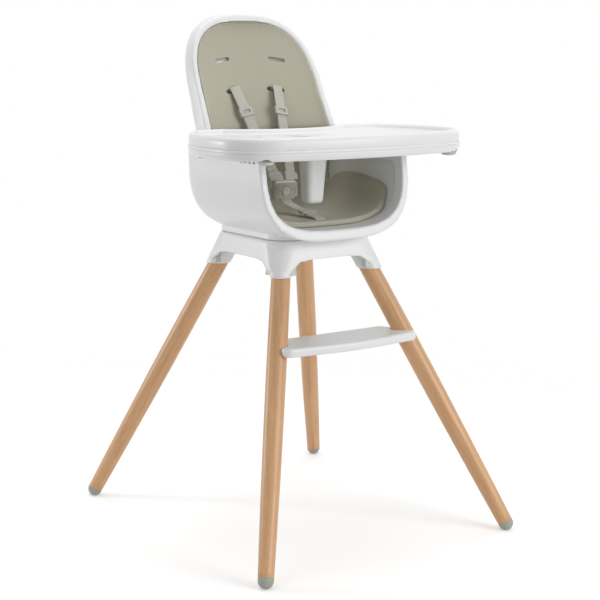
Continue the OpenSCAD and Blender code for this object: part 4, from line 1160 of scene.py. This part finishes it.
def makeStraps():
    for side, word in ((-1, "left"), (1, "right")):
        foot, top, slot, through = strapEnds(side)
        up = (top - foot).normalized()
        thing = webbing("shoulderStrap" + word.title(), [
            foot, foot.lerp(top, 0.5), top - up * 0.004, top + through * 0.003 + Vector((0, 0, 0.001)),
            slot + through * 0.006, slot + through * (strap["anchorDepth"] + 0.007)],
            (up.z, 0, -up.x), strap["wide"], strap["thick"])
        finish(thing, "seat", "webbing", "shoulder_strap_" + word, angle=50)
        thing = webbing("waistStrap" + word.title(), [(side * x, y, z) for x, y, z in strap["waistPath"]],
                        (0, 0, 1), strap["wide"], strap["thick"])
        finish(thing, "seat", "webbing", "waist_strap_" + word, angle=50)
    y = slots["crotchY"]
    thing = webbing("crotchStrap", [
        (0, buckle["y"] - 0.006, buckle["z"] - buckle["high"] / 2 - 0.0005), (0, 0.014, padZ + 0.020),
        *strap["crotchRun"], (0, y + 0.003, padZ + 0.001),
        (0, y, padZ - 0.005), (0, y, seat["bottom"] + hub["anchorTop"])],
        (1, 0, 0), strap["wide"], strap["thick"])
    finish(thing, "seat", "webbing", "crotch_strap", angle=50)


makeStraps()
print("straps made")


# Bar tacks: a row of short threads side by side across the webbing
tack = {"Width": 0.0176, "Pitch": 0.0008, "Length": 0.0042, "Radius": 0.00042}
tackAt = {"shoulder": (0.013, 0.024), "crotchShare": (0.1, 0.26)}


def makeTackTree():
    tree = bpy.data.node_groups.new("barTack", "GeometryNodeTree")
    tree.interface.new_socket("Geometry", in_out="OUTPUT", socket_type="NodeSocketGeometry")
    for name, value in tack.items():
        socket = tree.interface.new_socket(name, in_out="INPUT", socket_type="NodeSocketFloat")
        socket.default_value = value
    entry = addNode(tree, "NodeGroupInput").outputs
    count = math2(tree, "DIVIDE", entry["Width"], entry["Pitch"])
    left = math2(tree, "MULTIPLY", entry["Width"], -0.5)
    start = addNode(tree, "ShaderNodeCombineXYZ", {0: left}).outputs[0]
    step = addNode(tree, "ShaderNodeCombineXYZ", {0: entry["Pitch"]}).outputs[0]
    row = addNode(tree, "GeometryNodeMeshLine", {
        "Count": count, "Start Location": start, "Offset": step}, mode="OFFSET")
    bead = addNode(tree, "GeometryNodeMeshUVSphere", {
        "Segments": 8, "Rings": 6, "Radius": 1.0}).outputs["Mesh"]
    half = math2(tree, "MULTIPLY", entry["Length"], 0.5)
    stretch = addNode(tree, "ShaderNodeCombineXYZ", {
        0: entry["Radius"], 1: half, 2: entry["Radius"]}).outputs[0]
    thread = addNode(tree, "GeometryNodeTransform", {"Geometry": bead, "Scale": stretch}).outputs[0]
    threads = addNode(tree, "GeometryNodeInstanceOnPoints", {
        "Points": row.outputs[0], "Instance": thread}).outputs[0]
    real = addNode(tree, "GeometryNodeRealizeInstances", {0: threads}).outputs[0]
    sewn = addNode(tree, "GeometryNodeSetMaterial", {
        "Geometry": real, "Material": threadMaterial}).outputs[0]
    addNode(tree, "NodeGroupOutput", {0: sewn})
    return tree


def makeTacks(places):
    # places: matrices with local x across the strap and local z out of it
    tree = makeTackTree()
    identifiers = {item.name: item.identifier for item in tree.interface.items_tree if item.in_out == "INPUT"}
    form = bmesh.new()
    for place in places:
        thing = newObject("barTack", bpy.data.meshes.new("barTack"))
        modifier = thing.modifiers.new("barTack", "NODES")
        modifier.node_group = tree
        for name, value in tack.items():
            modifier[identifiers[name]] = value
        baked(thing).data.transform(place)
        form.from_mesh(thing.data)
        bpy.data.objects.remove(thing)
    mesh = bpy.data.meshes.new("barTacks")
    form.to_mesh(mesh)
    form.free()
    thing = finish(newObject("barTacks", mesh), "seat", "webbing", angle=80)
    thing.data.materials[0] = threadMaterial
    return thing


def onStrap(point, across, along, outward):
    x = Vector(across).normalized()
    z = x.cross(Vector(along)).normalized()
    z = z if z.dot(Vector(outward)) > 0 else -z
    turn = Matrix((x, z.cross(x), z)).transposed().to_4x4()
    return Matrix.Translation(Vector(point) + z * strap["thick"] / 2) @ turn


def tackPlaces():
    places = []
    for side in (-1, 1):
        foot, top, _, _ = strapEnds(side)
        up = (top - foot).normalized()
        for distance in tackAt["shoulder"]:
            places.append(onStrap(foot + up * distance, (up.z, 0, -up.x), up, (0, -1, 0)))
    start, end = (Vector(p) for p in strap["crotchRun"])
    for share in tackAt["crotchShare"]:
        places.append(onStrap(start.lerp(end, share), (1, 0, 0), end - start, (0, 0, 1)))
    return places


makeTacks(tackPlaces())
print("bar tacks made")
